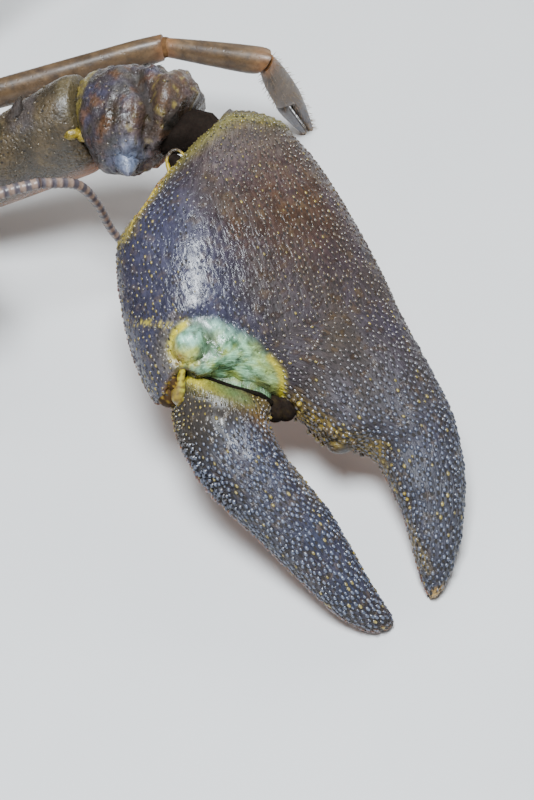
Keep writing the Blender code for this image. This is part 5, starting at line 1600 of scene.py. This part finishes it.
# %% Joints of the legs
LEG_ROOTS = {2: -29.5, 3: -22.0, 4: -14.5, 5: -7.5}
LEG_HEADINGS = {"l": {3: -13.0, 4: -31.0, 5: -52.0}, "r": {2: 20.0, 3: -3.0, 4: -24.0, 5: -47.0}}
LEG_SIZES = {2: 1.0, 3: 1.06, 4: 1.02, 5: 1.0}
LEG_REACH = [(0.0, 9.8), (6.8, 9.0), (17.0, 12.0), (34.5, 27.5), (44.5, 25.0), (52.5, 8.5), (55.0, 0.0)]
FREE_REACH = 17.0
STRETCHED_LEG = [
    (12.2, -31.2, 10.2),
    (22.4, -34.2, 13.4),
    (52.5, -42.8, 19.5),
    (63.4, -52.1, 20.0),
    (69.0, -50.6, 8.0),
    (71.5, -49.8, 0.0),
]


def leg_joints(side, pair):
    root = leg_root(LEG_ROOTS[pair])
    if (side, pair) == ("l", 2):
        return [root, *STRETCHED_LEG]
    heading = math.radians(LEG_HEADINGS[side][pair])
    out = np.array([math.cos(heading), -math.sin(heading), 0.0])
    joints = []
    for reach, height in LEG_REACH:
        turn = min(1.0, reach / FREE_REACH)
        way = unit(out * turn + np.array(ALONG_X) * (1 - turn))
        joints.append(root + way * reach * LEG_SIZES[pair] + (0, 0, height - STERNUM_Z))
    return joints


print("the last left leg stands at", leg_joints("l", 5)[-1].round(1))


# %% [markdown]
# A leg is six shells in a chain, here one object above the knee and one below it. The first two pairs end
# in small pincers: two fingers that are rings of one span, one above and one below its middle line. The
# skins at the joints are balls, and short bristles stand on the shin.

# %% Forms and paint of the legs
COXA = [(0.0, 2.5, 2.2, 2.2), (0.5, 2.9, 2.5, 2.4), (1.0, 2.3, 2.1, 2.1)]
ISCHIUM = [(0.0, 1.8, 1.9, 1.9), (0.5, 2.0, 2.1, 2.1), (1.0, 1.9, 2.0, 2.0)]
MERUS = [(0.0, 1.4, 1.7, 1.7), (0.3, 1.7, 2.4, 2.1), (0.85, 1.6, 2.4, 2.2), (1.0, 1.5, 2.1, 1.9)]
CARPUS = [(0.0, 1.2, 1.4, 1.4), (0.5, 1.6, 1.9, 1.7), (0.9, 1.8, 2.1, 1.9), (1.0, 1.6, 1.8, 1.7)]
PROPODUS = [(0.0, 1.2, 1.3, 1.3), (0.2, 1.5, 1.7, 1.6), (0.8, 1.2, 1.3, 1.3), (1.0, 1.0, 1.1, 1.1)]
DACTYL = [(0.0, 0.85, 0.9, 0.9), (0.3, 0.85, 0.95, 0.95), (0.8, 0.55, 0.6, 0.6), (1.0, 0.4, 0.45, 0.45)]
PINCER_PALM = [(0.0, 1.3, 1.3, 1.3), (0.25, 1.6, 1.9, 1.9), (0.5, 1.5, 2.1, 2.0), (0.56, 1.4, 2.0, 0.4),
               (0.75, 1.1, 1.6, 0.1), (0.92, 0.8, 1.1, -0.1), (1.0, 0.55, 0.85, -0.2)]
PINCER_FINGER = [(0.5, 1.0, 0.3, 1.6), (0.56, 1.2, -0.5, 2.1), (0.75, 1.0, -0.4, 1.7), (0.92, 0.7, -0.3, 1.2),
                 (1.0, 0.5, -0.25, 0.9)]
DOWNWARD = (0.0, 0.0, -1.0)
PINCERS_TO_PAIR = 3


def pincer_grid(span, rows, around, ends):
    c, s = rounded_ring(around)
    rings = []
    for share in np.linspace(*ends, 30):
        wide, high, low = curve(rows, share)[0]
        rings.append(span.ring(share, wide * c, (high - low) / 2 + (high + low) / 2 * s))
    return soften(np.array(rings), 0.1)


def shin_stacks(pair, joints, spans):
    stacks = [limb(spans[3], CARPUS, 28, 24, trim=(0.15, 0.0), ends=(0.0, 0.98))]
    if pair > PINCERS_TO_PAIR:
        stacks.append(resting(limb(spans[4], PROPODUS, 28, 30, ends=(0.03, 0.98))))
        stacks.append(resting(limb(spans[5], DACTYL, 24, 24, ends=(0.04, 1.0))))
    else:
        palm = Span(joints[4], joints[6], UPWARD, spans[3].end_plane, DOWNWARD)
        stacks.append(resting(pincer_grid(palm, PINCER_PALM, 28, (0.02, 1.0))))
        stacks.append(resting(pincer_grid(palm, PINCER_FINGER, 24, (0.5, 0.99))))
    return stacks


def paint_leg(spans, p):
    out = ease(np.abs(p[:, 0]), 26, 34)
    gaps = [np.linalg.norm(p - span.start, axis=1) for span in spans[2:5]]
    knees = [(ORANGE, 0.6 * ease(3.0 - gap, 0, 2.2)) for gap in gaps]
    return coats(mix((0.056, 0.033, 0.018), (0.11, 0.066, 0.031), cloud(p, 4, 81, 4)),
                 ((0.064, 0.072, 0.1), 0.7 * ease(12.0 - p[:, 2], 0, 8) * out), *knees,
                 ((0.3, 0.17, 0.06), 0.8 * ease(1.6 - p[:, 2], 0, 1.4) * out),
                 (DARK, 0.45 * spots(p, 1.5, 85, 0.25, 0.8, 2)), (TAN, 0.5 * spots(p, 1.8, 82, 0.3, 1.0)))


print("rings of a pincer's finger:", len(pincer_grid(left_claw.spans[3], PINCER_FINGER, 24, (0.5, 0.99))))


# %% Legs
SHIN_HAIRS, HAIR_RADIUS = 260, 0.045


def leg_hairs(name, grid, seed, side):
    """Short bristles along a leg."""
    rng = np.random.default_rng(seed)
    i = rng.integers(2, grid.shape[0] - 2, SHIN_HAIRS)
    j = rng.integers(0, grid.shape[1], SHIN_HAIRS)
    place = grid[i, j]
    way = unit(grid[-1].mean(0) - grid[0].mean(0))
    facing = unit(grid_normals(grid)[i, j] + way * rng.uniform(0.3, 1.0, (SHIN_HAIRS, 1)))
    sizes = rng.uniform(0.5, 1.0, SHIN_HAIRS)
    thick = np.full(SHIN_HAIRS, HAIR_RADIUS)
    good = place[:, 2] + facing[:, 2] * sizes > 0.05
    scatter(name, BRISTLE, HAIR, place[good], facing[good], np.column_stack([thick, thick, sizes])[good],
            (0.16, 0.1, 0.05), (0.42, 0.32, 0.2), side)


def make_leg(side, pair):
    leg, turned = f"leg{pair}_{side}", SIDES[side]
    joints = leg_joints(side, pair)
    spans = spans_through(joints, ALONG_X, DOWNWARD)
    upper = [
        limb(spans[0], COXA, 28, 14),
        limb(spans[1], ISCHIUM, 28, 16, ends=(0.05, 0.99)),
        limb(spans[2], MERUS, 32, 40, ends=(0.02, 1.0), trim=(0.0, 0.15)),
        ball(joints[1], [1.5] * 3),
        ball(joints[2], [1.5] * 3),
    ]
    paint = partial(paint_leg, spans)
    surface(f"{leg}_thigh", upper, LIMB, paint, [f"{leg}_upper"], turned)
    lower = shin_stacks(pair, joints, spans)
    surface(f"{leg}_shin", lower, LIMB, paint, [f"{leg}_lower"], turned)
    radii = (1.45, 1.15, 0.82) if pair > PINCERS_TO_PAIR else (1.45, 1.15)
    skins = [ball(joint, [radius] * 3) for joint, radius in zip(joints[3:], radii)]
    surface(f"{leg}_skin", skins, SKIN, plain((0.1, 0.05, 0.02), 0.3, 1.5, 83), (), turned)
    leg_hairs(f"{leg}_bristles", lower[1], 90 + pair, turned)


for leg_side in SIDES:
    for leg_pair in LEG_ROOTS:
        make_leg(leg_side, leg_pair)


# %% [markdown]
# Six rings of the abdomen overlap like roof tiles, with soft skin between them. Each ring is a limb shape
# with a step where the next ring slides under it, and low sides. A side plate hangs at each end of the
# ring, and under the middle rings hang the swimmerets, two thin blades on each side.

# %% Side plates and swimmerets
TAIL_JOINTS = [(0.0, 25.0), (4.6, 24.4), (13.0, 22.4), (21.6, 19.3), (30.0, 15.6), (38.0, 11.8), (46.4, 8.3)]
TAIL_SIZES = np.array([(13.6, 9.2, 6.4), (14.2, 9.6, 6.6), (14.8, 9.6, 6.6), (14.4, 9.0, 6.2),
                       (13.5, 8.2, 5.6), (12.4, 7.2, 5.0), (10.8, 5.6, 4.2)])
SIDE_PLATE_ROWS = [(0.0, 0.9, 0.0), (0.35, 1.0, 0.0), (0.7, 0.72, 1.2), (1.0, 0.18, 2.6)]
BLADE_ROWS = [(0.0, 0.5), (0.3, 0.75), (0.65, 1.0), (0.9, 0.7), (1.0, 0.25)]
SWIMMERETS = [(0.3, 0.35, 9.0), (-0.15, 0.55, 8.0)]
tail_spans = spans_through([(0.0, y, z) for y, z in TAIL_JOINTS], (0.0, 1.0, 0.0))


def side_stacks(index, span, sign):
    """The side plate and the swimmeret on one side of an abdomen ring."""
    wide, _, low = TAIL_SIZES[index]
    turn = np.array([sign, 1, 1])
    inner = 0 < index < 5
    middle = span.start + span.along * span.length * 0.5
    c, s = rounded_ring(40)
    drop = 7.6 if inner else 4.6
    half_long = span.length * (0.52 if index else 0.42)
    rings = []
    for share in np.linspace(0, 1, 22):
        size, back = curve(SIDE_PLATE_ROWS, share)[0]
        centre = middle + np.array([wide * 0.97 - 1.2 + 0.9 * share, 0, 0])
        centre = centre - span.up * (1.0 + (drop + low * 0.5) * share) + span.along * back
        bulge = 0.75 * (1 - 0.35 * share)
        ring = centre + np.outer(c * half_long * size, span.along) + np.outer(s * bulge, ALONG_X)
        rings.append(turn * ring)
    stacks = [soften(np.array(rings), 0.2)]
    root = middle + np.array([wide * 0.52, 0, 0]) - span.up * (low - 1.0)
    for out, back, length in SWIMMERETS if inner else ():
        way = unit(-span.up * 0.9 + span.along * back + np.array([out, 0, 0]))
        flat = unit(np.cross(way, ALONG_X))
        rings = []
        for share in np.linspace(0, 1, 18):
            size = curve(BLADE_ROWS, share)[0][0]
            centre = root + way * length * share * (1 - 0.08 * index)
            rings.append(turn * (centre + np.outer(c * 1.6 * size, ALONG_X) + np.outer(s * 0.36, flat)))
        stacks.append(np.array(rings))
    return stacks


print("the abdomen is", round(sum(float(span.length) for span in tail_spans), 1), "mm long")


# %% Rings of the abdomen
def tail_ring(index, span):
    front, back = TAIL_SIZES[index], TAIL_SIZES[index + 1]
    rows = [(0.0, *(front * 0.93)), (0.18, *(front * 0.965)), (0.6, *(front * 0.5 + back * 0.5)),
            (0.93, *back), (1.0, *(back * 0.985))]
    c, s = rounded_ring(96)
    flatter = np.where(s > 0, s, np.sign(s) * np.abs(s) ** 0.6)
    rings = []
    for share in np.linspace(0, 1, 36):
        wide, high, low = curve(rows, share)[0]
        step = 1 + 0.016 * ease(share, 0.22, 0.28)
        step += 0.012 * bell(share, 0.93, 0.05) - 0.012 * bell(share, 0.24, 0.03)
        up = np.where(s > 0, high, low * (1 - 0.35 * (1 - np.abs(c)))) * flatter
        rings.append(span.ring(share, wide * step * c, np.where(s > 0, step, 1.0) * up, trim=(0.12, 0.12)))
    return soften(np.array(rings), 0.25)


def tail_skin(index, span):
    """A short bulging band of skin in the plane between two rings."""
    c, s = rounded_ring(48)
    wide, high, low = TAIL_SIZES[index] * 0.86
    plane = Span(span.start, span.start + span.start_plane)
    rings = []
    for push in np.linspace(-0.9, 0.9, 7):
        size = math.sqrt(1 - (push / 1.2) ** 2 * 0.3)
        ring = plane.ring(0.0, wide * size * c, np.where(s > 0, high, low * 0.6) * size * s)
        rings.append(ring + span.start_plane * push)
    return np.array(rings)


def paint_abdomen(span, index, p):
    share, height = span.share_of(p), span.height_of(p)
    return coats(
        mix(BROWN, OLIVE, cloud(p, 5, 91 + index, 4)),
        (VIOLET, 0.45 * spots(p, 9, 95, -0.2, 0.7, 4)),
        (TAN, 0.6 * ease(1.5 - height, 0, 6) * ease(share, -0.2, 0.2)),
        (RUST, 0.5 * spots(p, 4.0, 97, 0.1, 0.8, 4)),
        (ORANGE, 0.32 * ease(share, 0.9, 0.99) + 0.3 * ease(-height, 6.0, 10.0)),
        # painted shade on the front of the ring, under the edge of the ring before
        (DARK, 0.5 * ease(0.2 - share, 0, 0.1) * (height > -2)),
        (CREAM, 0.55 * ease(-height, 2.5, 5.0) * (np.abs(p[:, 0]) < TAIL_SIZES[index][0] * 0.8)),
        (DARK, 0.45 * spots(p, 1.5, 98, 0.3, 0.8, 2)),
        (TAN, 0.45 * spots(p, 1.7, 96, 0.35, 1.0)),
    )


for tail_index, tail_span in enumerate(tail_spans):
    tail_stacks = [tail_ring(tail_index, tail_span)]
    for tail_sign in (1, -1):
        tail_stacks += side_stacks(tail_index, tail_span, tail_sign)
    surface(f"tail_ring_{tail_index + 1}", tail_stacks, SHELL, partial(paint_abdomen, tail_span, tail_index),
            [f"abdomen_{tail_index + 1}"])
    if tail_index:
        surface(f"tail_skin_{tail_index}", [tail_skin(tail_index, tail_span)], SKIN,
                plain((0.07, 0.04, 0.022), 0.3, 2.0, 99))


# %% [markdown]
# The tail fan is five flat plates. Each has a low ridge down its middle, fine ribs and a seam, which come
# from small waves added to flat rings. A fringe of bristles stands round the free edge, placed at even
# steps.

# %% Plates with fringes
TELSON_ROWS = [(0.0, 5.4, 1.5), (0.25, 6.6, 1.0), (0.6, 6.2, 0.8), (0.66, 5.6, 0.75), (0.85, 5.0, 0.6),
               (1.0, 2.6, 0.45)]
UROPOD_ROWS = [(0.0, 0.34, 0.9), (0.12, 0.5, 0.8), (0.4, 0.86, 0.55), (0.7, 1.0, 0.45), (0.88, 0.86, 0.4),
               (1.0, 0.4, 0.35)]
UROPODS = {"inner": ((7.2, 48.8, 5.3), 19.0, -8.0, 18.5, 4.8),
           "outer": ((11.6, 47.2, 4.0), 44.0, -8.5, 18.5, 5.6)}
BRISTLE_RADIUS = 0.07


def plate_grid(start, spread, tilt, length, wide, rows, around=64, count=60, ribs=0):
    """A flat plate and the way it points. Spread and tilt are in degrees."""
    spread, tilt = math.radians(spread), math.radians(tilt)
    along = np.array([math.sin(spread) * math.cos(tilt), math.cos(spread) * math.cos(tilt), math.sin(tilt)])
    across = unit(np.cross(along, UPWARD))
    up = np.cross(across, along)
    c, s = rounded_ring(around, 2.4)
    rings = []
    for share in np.linspace(0, 1, count):
        half, thick = curve(rows, share)[0]
        end = 1 - 0.55 * ease(share, 0.93, 1.0) ** 2
        rise = 0.5 * bell(c, 0.0, 0.22) * (s > 0) * (1 - share) + 0.6 * (1 - c**2) * (s > 0)
        rib = 0.1 * np.cos(c * ribs * math.pi) * (np.abs(s) > 0.3) * ease(share, 0.3, 0.6)
        seam = -0.25 * bell(share, 0.64, 0.02)
        rings.append(np.array(start) + along * length * share + np.outer(c * half * wide * end, across)
                     + np.outer(s * thick * (1 + seam) + (rise + rib) * thick, up))
    return np.array(rings), along


def fringe(name, grid, along, length, count, seed, side, from_share):
    """A fringe of bristles round the free edge of a plate."""
    rng = np.random.default_rng(seed)
    first = int(grid.shape[0] * from_share)
    middle = grid.mean(1)
    widest = np.argmax(np.linalg.norm(grid - middle[:, None], axis=2), axis=1)
    left = np.array([grid[i, widest[i]] for i in range(first, len(grid))])
    right = 2 * middle[first:] - left
    tip = np.linspace(0, 1, 24)[:, None]
    line = np.concatenate([left, left[-1] * (1 - tip) + right[-1] * tip, right[::-1]])
    run = run_of(line)
    place = at(np.linspace(0, run[-1], count) + rng.uniform(-0.1, 0.1, count), run, line)
    facing = unit(unit(place - middle[int(first * 0.9)]) + along * 1.1 + rng.normal(0, 0.05, (count, 3)))
    thick = np.full(count, BRISTLE_RADIUS)
    stretch = np.column_stack([thick, thick, length * rng.uniform(0.75, 1.0, count)])
    facing[:, 2] = np.maximum(facing[:, 2], -(place[:, 2] - 0.08) / length)
    scatter(name, BRISTLE, HAIR, place, unit(facing), stretch, (0.14, 0.085, 0.045), (0.36, 0.25, 0.15), side)


print("a plate has", plate_grid(*UROPODS["inner"], UROPOD_ROWS)[0].shape[0], "rings")


# %% Tail fan
TELSON = ((0.0, 46.9, 8.1), 0.0, -12.0, 19.0, 1.0)
TELSON_SPINE = ((5.4, 58.2, 6.0), (6.0, 61.2, 5.1))


def paint_plate(p):
    return coats(
        mix(BROWN, (0.105, 0.068, 0.035), cloud(p, 4, 101, 4)),
        (VIOLET, 0.4 * spots(p, 6, 105, -0.1, 0.7)),
        (ORANGE, 0.35 * ease(p[:, 1], 60, 68)),
        (DARK, 0.45 * spots(p, 1.4, 106, 0.3, 0.8, 2)),
        (TAN, 0.45 * spots(p, 1.6, 102, 0.3, 1.0)),
    )


telson, telson_way = plate_grid(*TELSON, TELSON_ROWS, ribs=5)
telson_spines = [spine(*(np.array([sign, 1, 1]) * TELSON_SPINE), 0.45) for sign in (1, -1)]
surface("tail_plate_middle", [telson] + telson_spines, PLATE, paint_plate, ["telson"])
fringe("tail_fringe_middle", telson, telson_way, 2.6, 420, 103, 1.0, 0.66)
for fan_side, fan_turned in SIDES.items():
    for fan_name, fan_place in UROPODS.items():
        fan_blade, fan_way = plate_grid(*fan_place, UROPOD_ROWS, ribs=6)
        surface(f"tail_plate_{fan_side}_{fan_name}", [resting(fan_blade)], PLATE, paint_plate,
                [f"uropod_{fan_side}_{fan_name}"], fan_turned)
        fringe(f"tail_fringe_{fan_side}_{fan_name}", fan_blade, fan_way, 2.4, 420, 104, fan_turned, 0.5)


# %% [markdown]
# A crayfish eye is a dome of facets on a short stalk. A part of a sphere, in rings, sits on the stalk's
# end. It is glossy black, so its material has a clear coat, and small cells give the facets.

# %% Eyes
EYE_STALK = [(4.6, -51.0, 28.4), (7.2, -54.2, 29.4)]
STALK_ROWS = [(0.0, 1.5, 1.5, 1.5), (0.6, 1.75, 1.75, 1.75), (1.0, 2.0, 2.0, 2.0)]
EYE_RADIUS = 2.35
eye_span = Span(*EYE_STALK)


def eye_globe():
    c, s = rounded_ring(56)
    rings = []
    for share in np.sin(np.linspace(0, math.pi / 2, 26)):
        height = EYE_RADIUS * 1.75 * share
        size = math.sqrt(max(EYE_RADIUS**2 - (height - EYE_RADIUS * 0.75) ** 2, 0.0002))
        round_it = np.outer(c, eye_span.across) + np.outer(s, eye_span.up)
        rings.append(eye_span.end + eye_span.along * 0.3 + eye_span.along * height + size * round_it)
    return np.array(rings)


for eye_side, eye_turned in SIDES.items():
    surface(f"eye_stem_{eye_side}", [limb(eye_span, STALK_ROWS, 36, 20)], LIMB,
            plain((0.16, 0.1, 0.05), 0.35, 1.5, 111), [f"eyestalk_{eye_side}"], eye_turned)
    surface(f"eye_globe_{eye_side}", [eye_globe()], EYE, plain((0.02, 0.02, 0.02)), [f"eye_{eye_side}"],
            eye_turned)


# %% [markdown]
# The long antennae are whips of many tiny rings, dark and light in turn. A tube along a smooth path gives
# the whip, a small wave in its radius gives the rings, and the paint finds how far along the whip each
# point is. They stand on three stout pieces under a pointed scale. The short antennules between them are
# forked.

# %% Ringed feelers
RING_PITCH = 0.75


def ringed(points, start_radius, end_radius, pitch, around=12):
    """A feeler made of many little rings, with its middle line."""
    fine = smooth_path(points, 300)
    length = np.linalg.norm(np.diff(fine, axis=0), axis=1).sum()
    count = max(int(length / pitch * 4), 12)
    line = smooth_path(points, count)
    share = np.linspace(0, 1, count)
    radii = start_radius + (end_radius - start_radius) * share
    radii = radii * (1 + 0.07 * np.cos(share * length / pitch * 2 * math.pi))
    return tube(line, radii, around), line, length


def paint_ringed(line, length):
    """Dark and light rings in turn, by how far along the line each point is."""
    run = np.linspace(0, length, len(line))

    def paint(p):
        far = np.empty(len(p))
        for start in range(0, len(p), 4000):
            gap = ((p[start:start + 4000, None] - line[None]) ** 2).sum(-1)
            far[start:start + 4000] = run[gap.argmin(1)]
        band = ease(np.sin(far / RING_PITCH * math.pi), -0.5, 0.5)
        return mix((0.26, 0.17, 0.12), (0.06, 0.05, 0.06), 0.25 + 0.75 * band)
    return paint


def chain(joints, *pieces):
    """Limb pieces from joint to joint. Each is (rows, points around, rings, first share, last share)."""
    return [limb(span, rows, around, count, ends=ends)
            for span, (rows, around, count, *ends) in zip(spans_through(joints), pieces)]


print("rings on 10 mm of feeler:", int(10 / RING_PITCH))


# %% Antennules
ANTENNULE_JOINTS = [(2.5, -53.6, 26.2), (2.7, -57.0, 26.6), (2.9, -60.0, 27.2), (3.1, -62.6, 27.8)]
ANTENNULE_FLAGELLA = [
    [(3.5, -61.8, 28.1), (4.6, -66.5, 30.2), (6.2, -72.0, 33.0), (7.6, -78.5, 34.6), (8.4, -85.0, 34.4)],
    [(2.6, -61.8, 27.7), (2.2, -66.8, 28.4), (2.4, -72.0, 28.4), (3.4, -77.5, 27.2), (4.8, -82.5, 25.2)],
]


def make_antennule(side):
    stacks = chain(
        ANTENNULE_JOINTS,
        ([(0, 1.7, 1.6, 1.5), (1, 1.5, 1.4, 1.4)], 24, 12, 0.0, 1.0),
        ([(0, 1.1, 1.1, 1.1), (1, 1.2, 1.2, 1.2)], 24, 12, 0.05, 0.98),
        ([(0, 0.9, 0.9, 0.9), (1, 1.1, 1.0, 1.0)], 24, 12, 0.05, 1.0),
    )
    stacks += [ringed(points, 0.5, 0.16, 0.8, 10)[0] for points in ANTENNULE_FLAGELLA]
    surface(f"small_feeler_{side}", stacks, FEELER, plain((0.17, 0.1, 0.06), 0.5, 1.6, 121),
            [f"antennule_{side}"], SIDES[side])


print("whips on an antennule:", len(ANTENNULE_FLAGELLA))


# %% Antennae
ANTENNA_BASE = [(7.4, -53.6, 22.2), (8.0, -57.6, 22.8), (8.4, -61.4, 23.8), (8.8, -65.2, 25.0)]
FLAGELLA = {
    "l": [
        [(8.95, -65.75, 25.2), (10.6, -67.0, 27.2), (14.4, -66.6, 28.6), (19.2, -65.8, 29.4),
         (24.0, -66.4, 29.4)],
        [(24.0, -66.4, 29.4), (28.6, -66.9, 27.4), (31.4, -66.7, 22.0), (33.2, -66.3, 15.5),
         (36.0, -67.2, 9.0)],
        [(36.0, -67.2, 9.0), (40.0, -71.0, 5.2), (44.0, -78.0, 3.0), (46.2, -85.0, 2.0), (46.8, -92.0, 1.6)],
    ],
    "r": [
        [(8.95, -65.75, 25.2), (11.0, -68.7, 28.6), (14.2, -73.5, 31.8), (18.0, -78.0, 35.0),
         (25.5, -81.0, 41.0), (34.0, -80.0, 45.0)],
        [(34.0, -80.0, 45.0), (43.0, -75.0, 47.0), (52.0, -66.0, 46.0),
         (59.0, -54.0, 42.0), (62.5, -40.0, 36.0)],
    ],
}
THICK_END, THIN_END = 0.9, 0.3
ANTENNA_SCALE = ((12.6, -56.2, 24.2), 175.0, 3.0, 15.0, 2.9)
SCALE_ROWS = [(0.0, 0.45, 0.9), (0.2, 0.8, 0.8), (0.6, 1.0, 0.6), (0.85, 0.8, 0.5), (1.0, 0.3, 0.35)]
SCALE_SPINE = ((15.0, -64.0, 24.4), (15.6, -72.4, 25.0), 0.75)


def make_antenna(side):
    turned = SIDES[side]
    spans = spans_through(ANTENNA_BASE)
    stacks = [
        limb(spans[0], [(0, 2.9, 2.5, 2.6), (0.5, 3.1, 2.6, 2.7), (1, 2.8, 2.3, 2.4)], 32, 16),
        limb(spans[1], [(0, 2.0, 1.8, 1.8), (1, 2.1, 1.9, 1.9)], 32, 14, ends=(0.05, 0.98)),
        limb(spans[2], [(0, 1.5, 1.5, 1.5), (1, 1.7, 1.5, 1.5)], 32, 14, ends=(0.05, 1.0), trim=(0.0, 0.15)),
    ]
    surface(f"feeler_root_{side}", stacks, LIMB, plain((0.15, 0.09, 0.05), 0.4, 2.5, 122),
            [f"antenna_{side}_base"], turned)
    radii = np.linspace(THICK_END, THIN_END, len(FLAGELLA[side]) + 1)
    for index, points in enumerate(FLAGELLA[side]):
        grid, line, length = ringed(points, radii[index], radii[index + 1], RING_PITCH)
        surface(f"feeler_{side}_{index + 1}", [grid], FEELER, paint_ringed(line, length),
                [f"flagellum_{side}_{index + 1}"], turned)
    blade, way = plate_grid(*ANTENNA_SCALE, SCALE_ROWS, 48, 40)
    surface(f"feeler_scale_{side}", [blade, spine(*SCALE_SPINE)], LIMB,
            plain((0.13, 0.085, 0.045), 0.35, 2.5, 123), [f"antenna_{side}_scale"], turned)
    fringe(f"feeler_scale_fringe_{side}", blade, way, 2.0, 220, 124, turned, 0.25)


for feeler_side in SIDES:
    make_antennule(feeler_side)
    make_antenna(feeler_side)


# %% [markdown]
# Two leg-like mouth feet cover the mouth from below and carry long bristles on their inner edges. Behind
# them sit the pale jaws. Both are chains of short limb pieces, like the legs.

# %% Mouth feet
MOUTH_JOINTS = [(3.4, -43.8, 12.2), (3.9, -50.0, 10.6), (4.3, -56.5, 10.4), (4.5, -61.5, 12.2),
                (4.2, -64.5, 14.8), (3.8, -65.8, 17.4)]
INNER_EDGE = (-1.7, 0, 0.4)


def make_mouth_foot(side):
    stacks = chain(
        MOUTH_JOINTS,
        ([(0, 2.0, 1.9, 1.6), (1, 2.3, 2.0, 1.7)], 28, 16, 0.0, 1.0),
        ([(0, 2.1, 1.8, 1.6), (1, 2.0, 1.8, 1.6)], 28, 16, 0.03, 0.98),
        ([(0, 1.4, 1.4, 1.3), (1, 1.6, 1.5, 1.4)], 28, 14, 0.05, 0.98),
        ([(0, 1.1, 1.1, 1.1), (1, 1.2, 1.1, 1.1)], 24, 12, 0.05, 0.98),
        ([(0, 0.9, 0.9, 0.9), (1, 0.3, 0.3, 0.3)], 24, 12, 0.05, 1.0),
    )
    surface(f"mouth_foot_{side}", stacks, LIMB, plain((0.22, 0.14, 0.07), 0.35, 2.5, 131),
            [f"maxilliped_{side}"], SIDES[side])


def mouth_bristles(side):
    rng = np.random.default_rng(132)
    line = smooth_path(MOUTH_JOINTS, 260) + INNER_EDGE
    count = len(line)
    facing = unit(np.column_stack([
        rng.uniform(-1.0, -0.4, count), rng.uniform(-0.6, 0.0, count), rng.uniform(-0.2, 0.5, count)]))
    thick = np.full(count, 0.06)
    stretch = np.column_stack([thick, thick, rng.uniform(1.0, 2.0, count)])
    scatter(f"mouth_bristles_{side}", BRISTLE, HAIR, line, facing, stretch, (0.2, 0.12, 0.06),
            (0.45, 0.33, 0.2), SIDES[side])


def make_jaw(side):
    span = Span((4.2, -45.4, 15.4), (1.4, -50.4, 15.2))
    jaw = limb(span, [(0, 1.8, 1.5, 1.3), (0.6, 2.0, 1.7, 1.4), (1, 0.9, 1.2, 1.0)], 28, 20)
    surface(f"jaw_{side}", [jaw], HORN, plain((0.42, 0.33, 0.22), 0.25, 2.0, 133), [f"mandible_{side}"],
            SIDES[side])


for mouth_side in SIDES:
    make_mouth_foot(mouth_side)
    mouth_bristles(mouth_side)
    make_jaw(mouth_side)


# %% [markdown]
# The stage is plain: a pale matt floor and soft light. One large lamp over the claw gives the long
# highlight of the photo, and two weak ones keep the far sides from going black. The camera looks down at
# the claw from the photo's side, through a long lens, because the photo is a close-up with little
# perspective.

# %% Floor and lamps
FLOOR_HALF = 1.5
LAMPS = {
    "key": ((-15.0, -159.0, 418.0), (36.0, -83.0, 24.0), (0.14, 0.14), 4.3, (0.88, 0.945, 1.0)),
    "fill": ((-320.0, -260.0, 260.0), (20.0, -60.0, 15.0), (0.35, 0.3), 0.5, (0.95, 0.97, 1.0)),
    "rim": ((300.0, 180.0, 260.0), (20.0, -40.0, 15.0), (0.3, 0.25), 0.8, (1.0, 0.97, 0.92)),
}


def make_floor():
    mesh = bpy.data.meshes.new("floor")
    corners = [(FLOOR_HALF * x, FLOOR_HALF * y, 0) for x, y in ((-1, -1), (1, -1), (1, 1), (-1, 1))]
    mesh.from_pydata(corners, [], [(0, 1, 2, 3)])
    floor = new_object("floor", mesh)
    made, tree, shader = new_material("floor")
    place = node_of(tree, "ShaderNodeTexCoord")["Object"]
    noise = node_of(tree, "ShaderNodeTexNoise", Vector=place, Scale=40.0, Detail=4.0)["Fac"]
    tone = blend_of(tree, noise, (0.64, 0.64, 0.64), (0.7, 0.695, 0.685))
    fill(tree, shader, dict(Base_Color=tone, Roughness=0.75).items())
    mesh.materials.append(made)


def make_lamp(name, place, aim, size, power, colour):
    light = bpy.data.lights.new(name, "AREA")
    light.shape = "RECTANGLE"
    light.size, light.size_y = size
    light.energy = power
    light.color = colour
    made = new_object(name, light)
    made.location = Vector(to_frame(place))
    made.rotation_euler = (Vector(to_frame(aim)) - made.location).to_track_quat("-Z", "Y").to_euler()


make_floor()
for lamp, settings in LAMPS.items():
    make_lamp(lamp, *settings)
world = bpy.data.worlds.new("world")
world.use_nodes = True
backdrop = world.node_tree.nodes["Background"]
backdrop.inputs["Color"].default_value = (0.8, 0.84, 0.9, 1)
backdrop.inputs["Strength"].default_value = 0.18
bpy.context.scene.world = world
print("lamps:", list(LAMPS))


# %% Camera
CAMERA_AZIMUTH, CAMERA_ELEVATION, CAMERA_DISTANCE, CAMERA_LENS = -27.0, 54.0, 283.0, 100.0
CAMERA_TARGET = (40.1, -98.4, 11.9)


def make_camera():
    azimuth, elevation = math.radians(CAMERA_AZIMUTH), math.radians(CAMERA_ELEVATION)
    level = math.cos(elevation)
    back = np.array([math.sin(azimuth) * level, -math.cos(azimuth) * level, math.sin(elevation)])
    camera = bpy.data.cameras.new("camera")
    camera.lens, camera.sensor_width = CAMERA_LENS, 36.0
    camera.clip_start, camera.clip_end = 0.01, 20.0
    made = new_object("camera", camera)
    made.location = Vector(to_frame(np.array(CAMERA_TARGET) + back * CAMERA_DISTANCE))
    made.rotation_euler = Vector(-back).to_track_quat("-Z", "Y").to_euler()
    bpy.context.scene.camera = made


make_camera()
print("the camera stands at", bpy.context.scene.camera.location)


# %% [markdown]
# The three small forms have done their work: their copies are real meshes now, so the forms go.

# %% Finish
for form in (DOME, SCALE, BRISTLE):
    bpy.data.objects.remove(form)
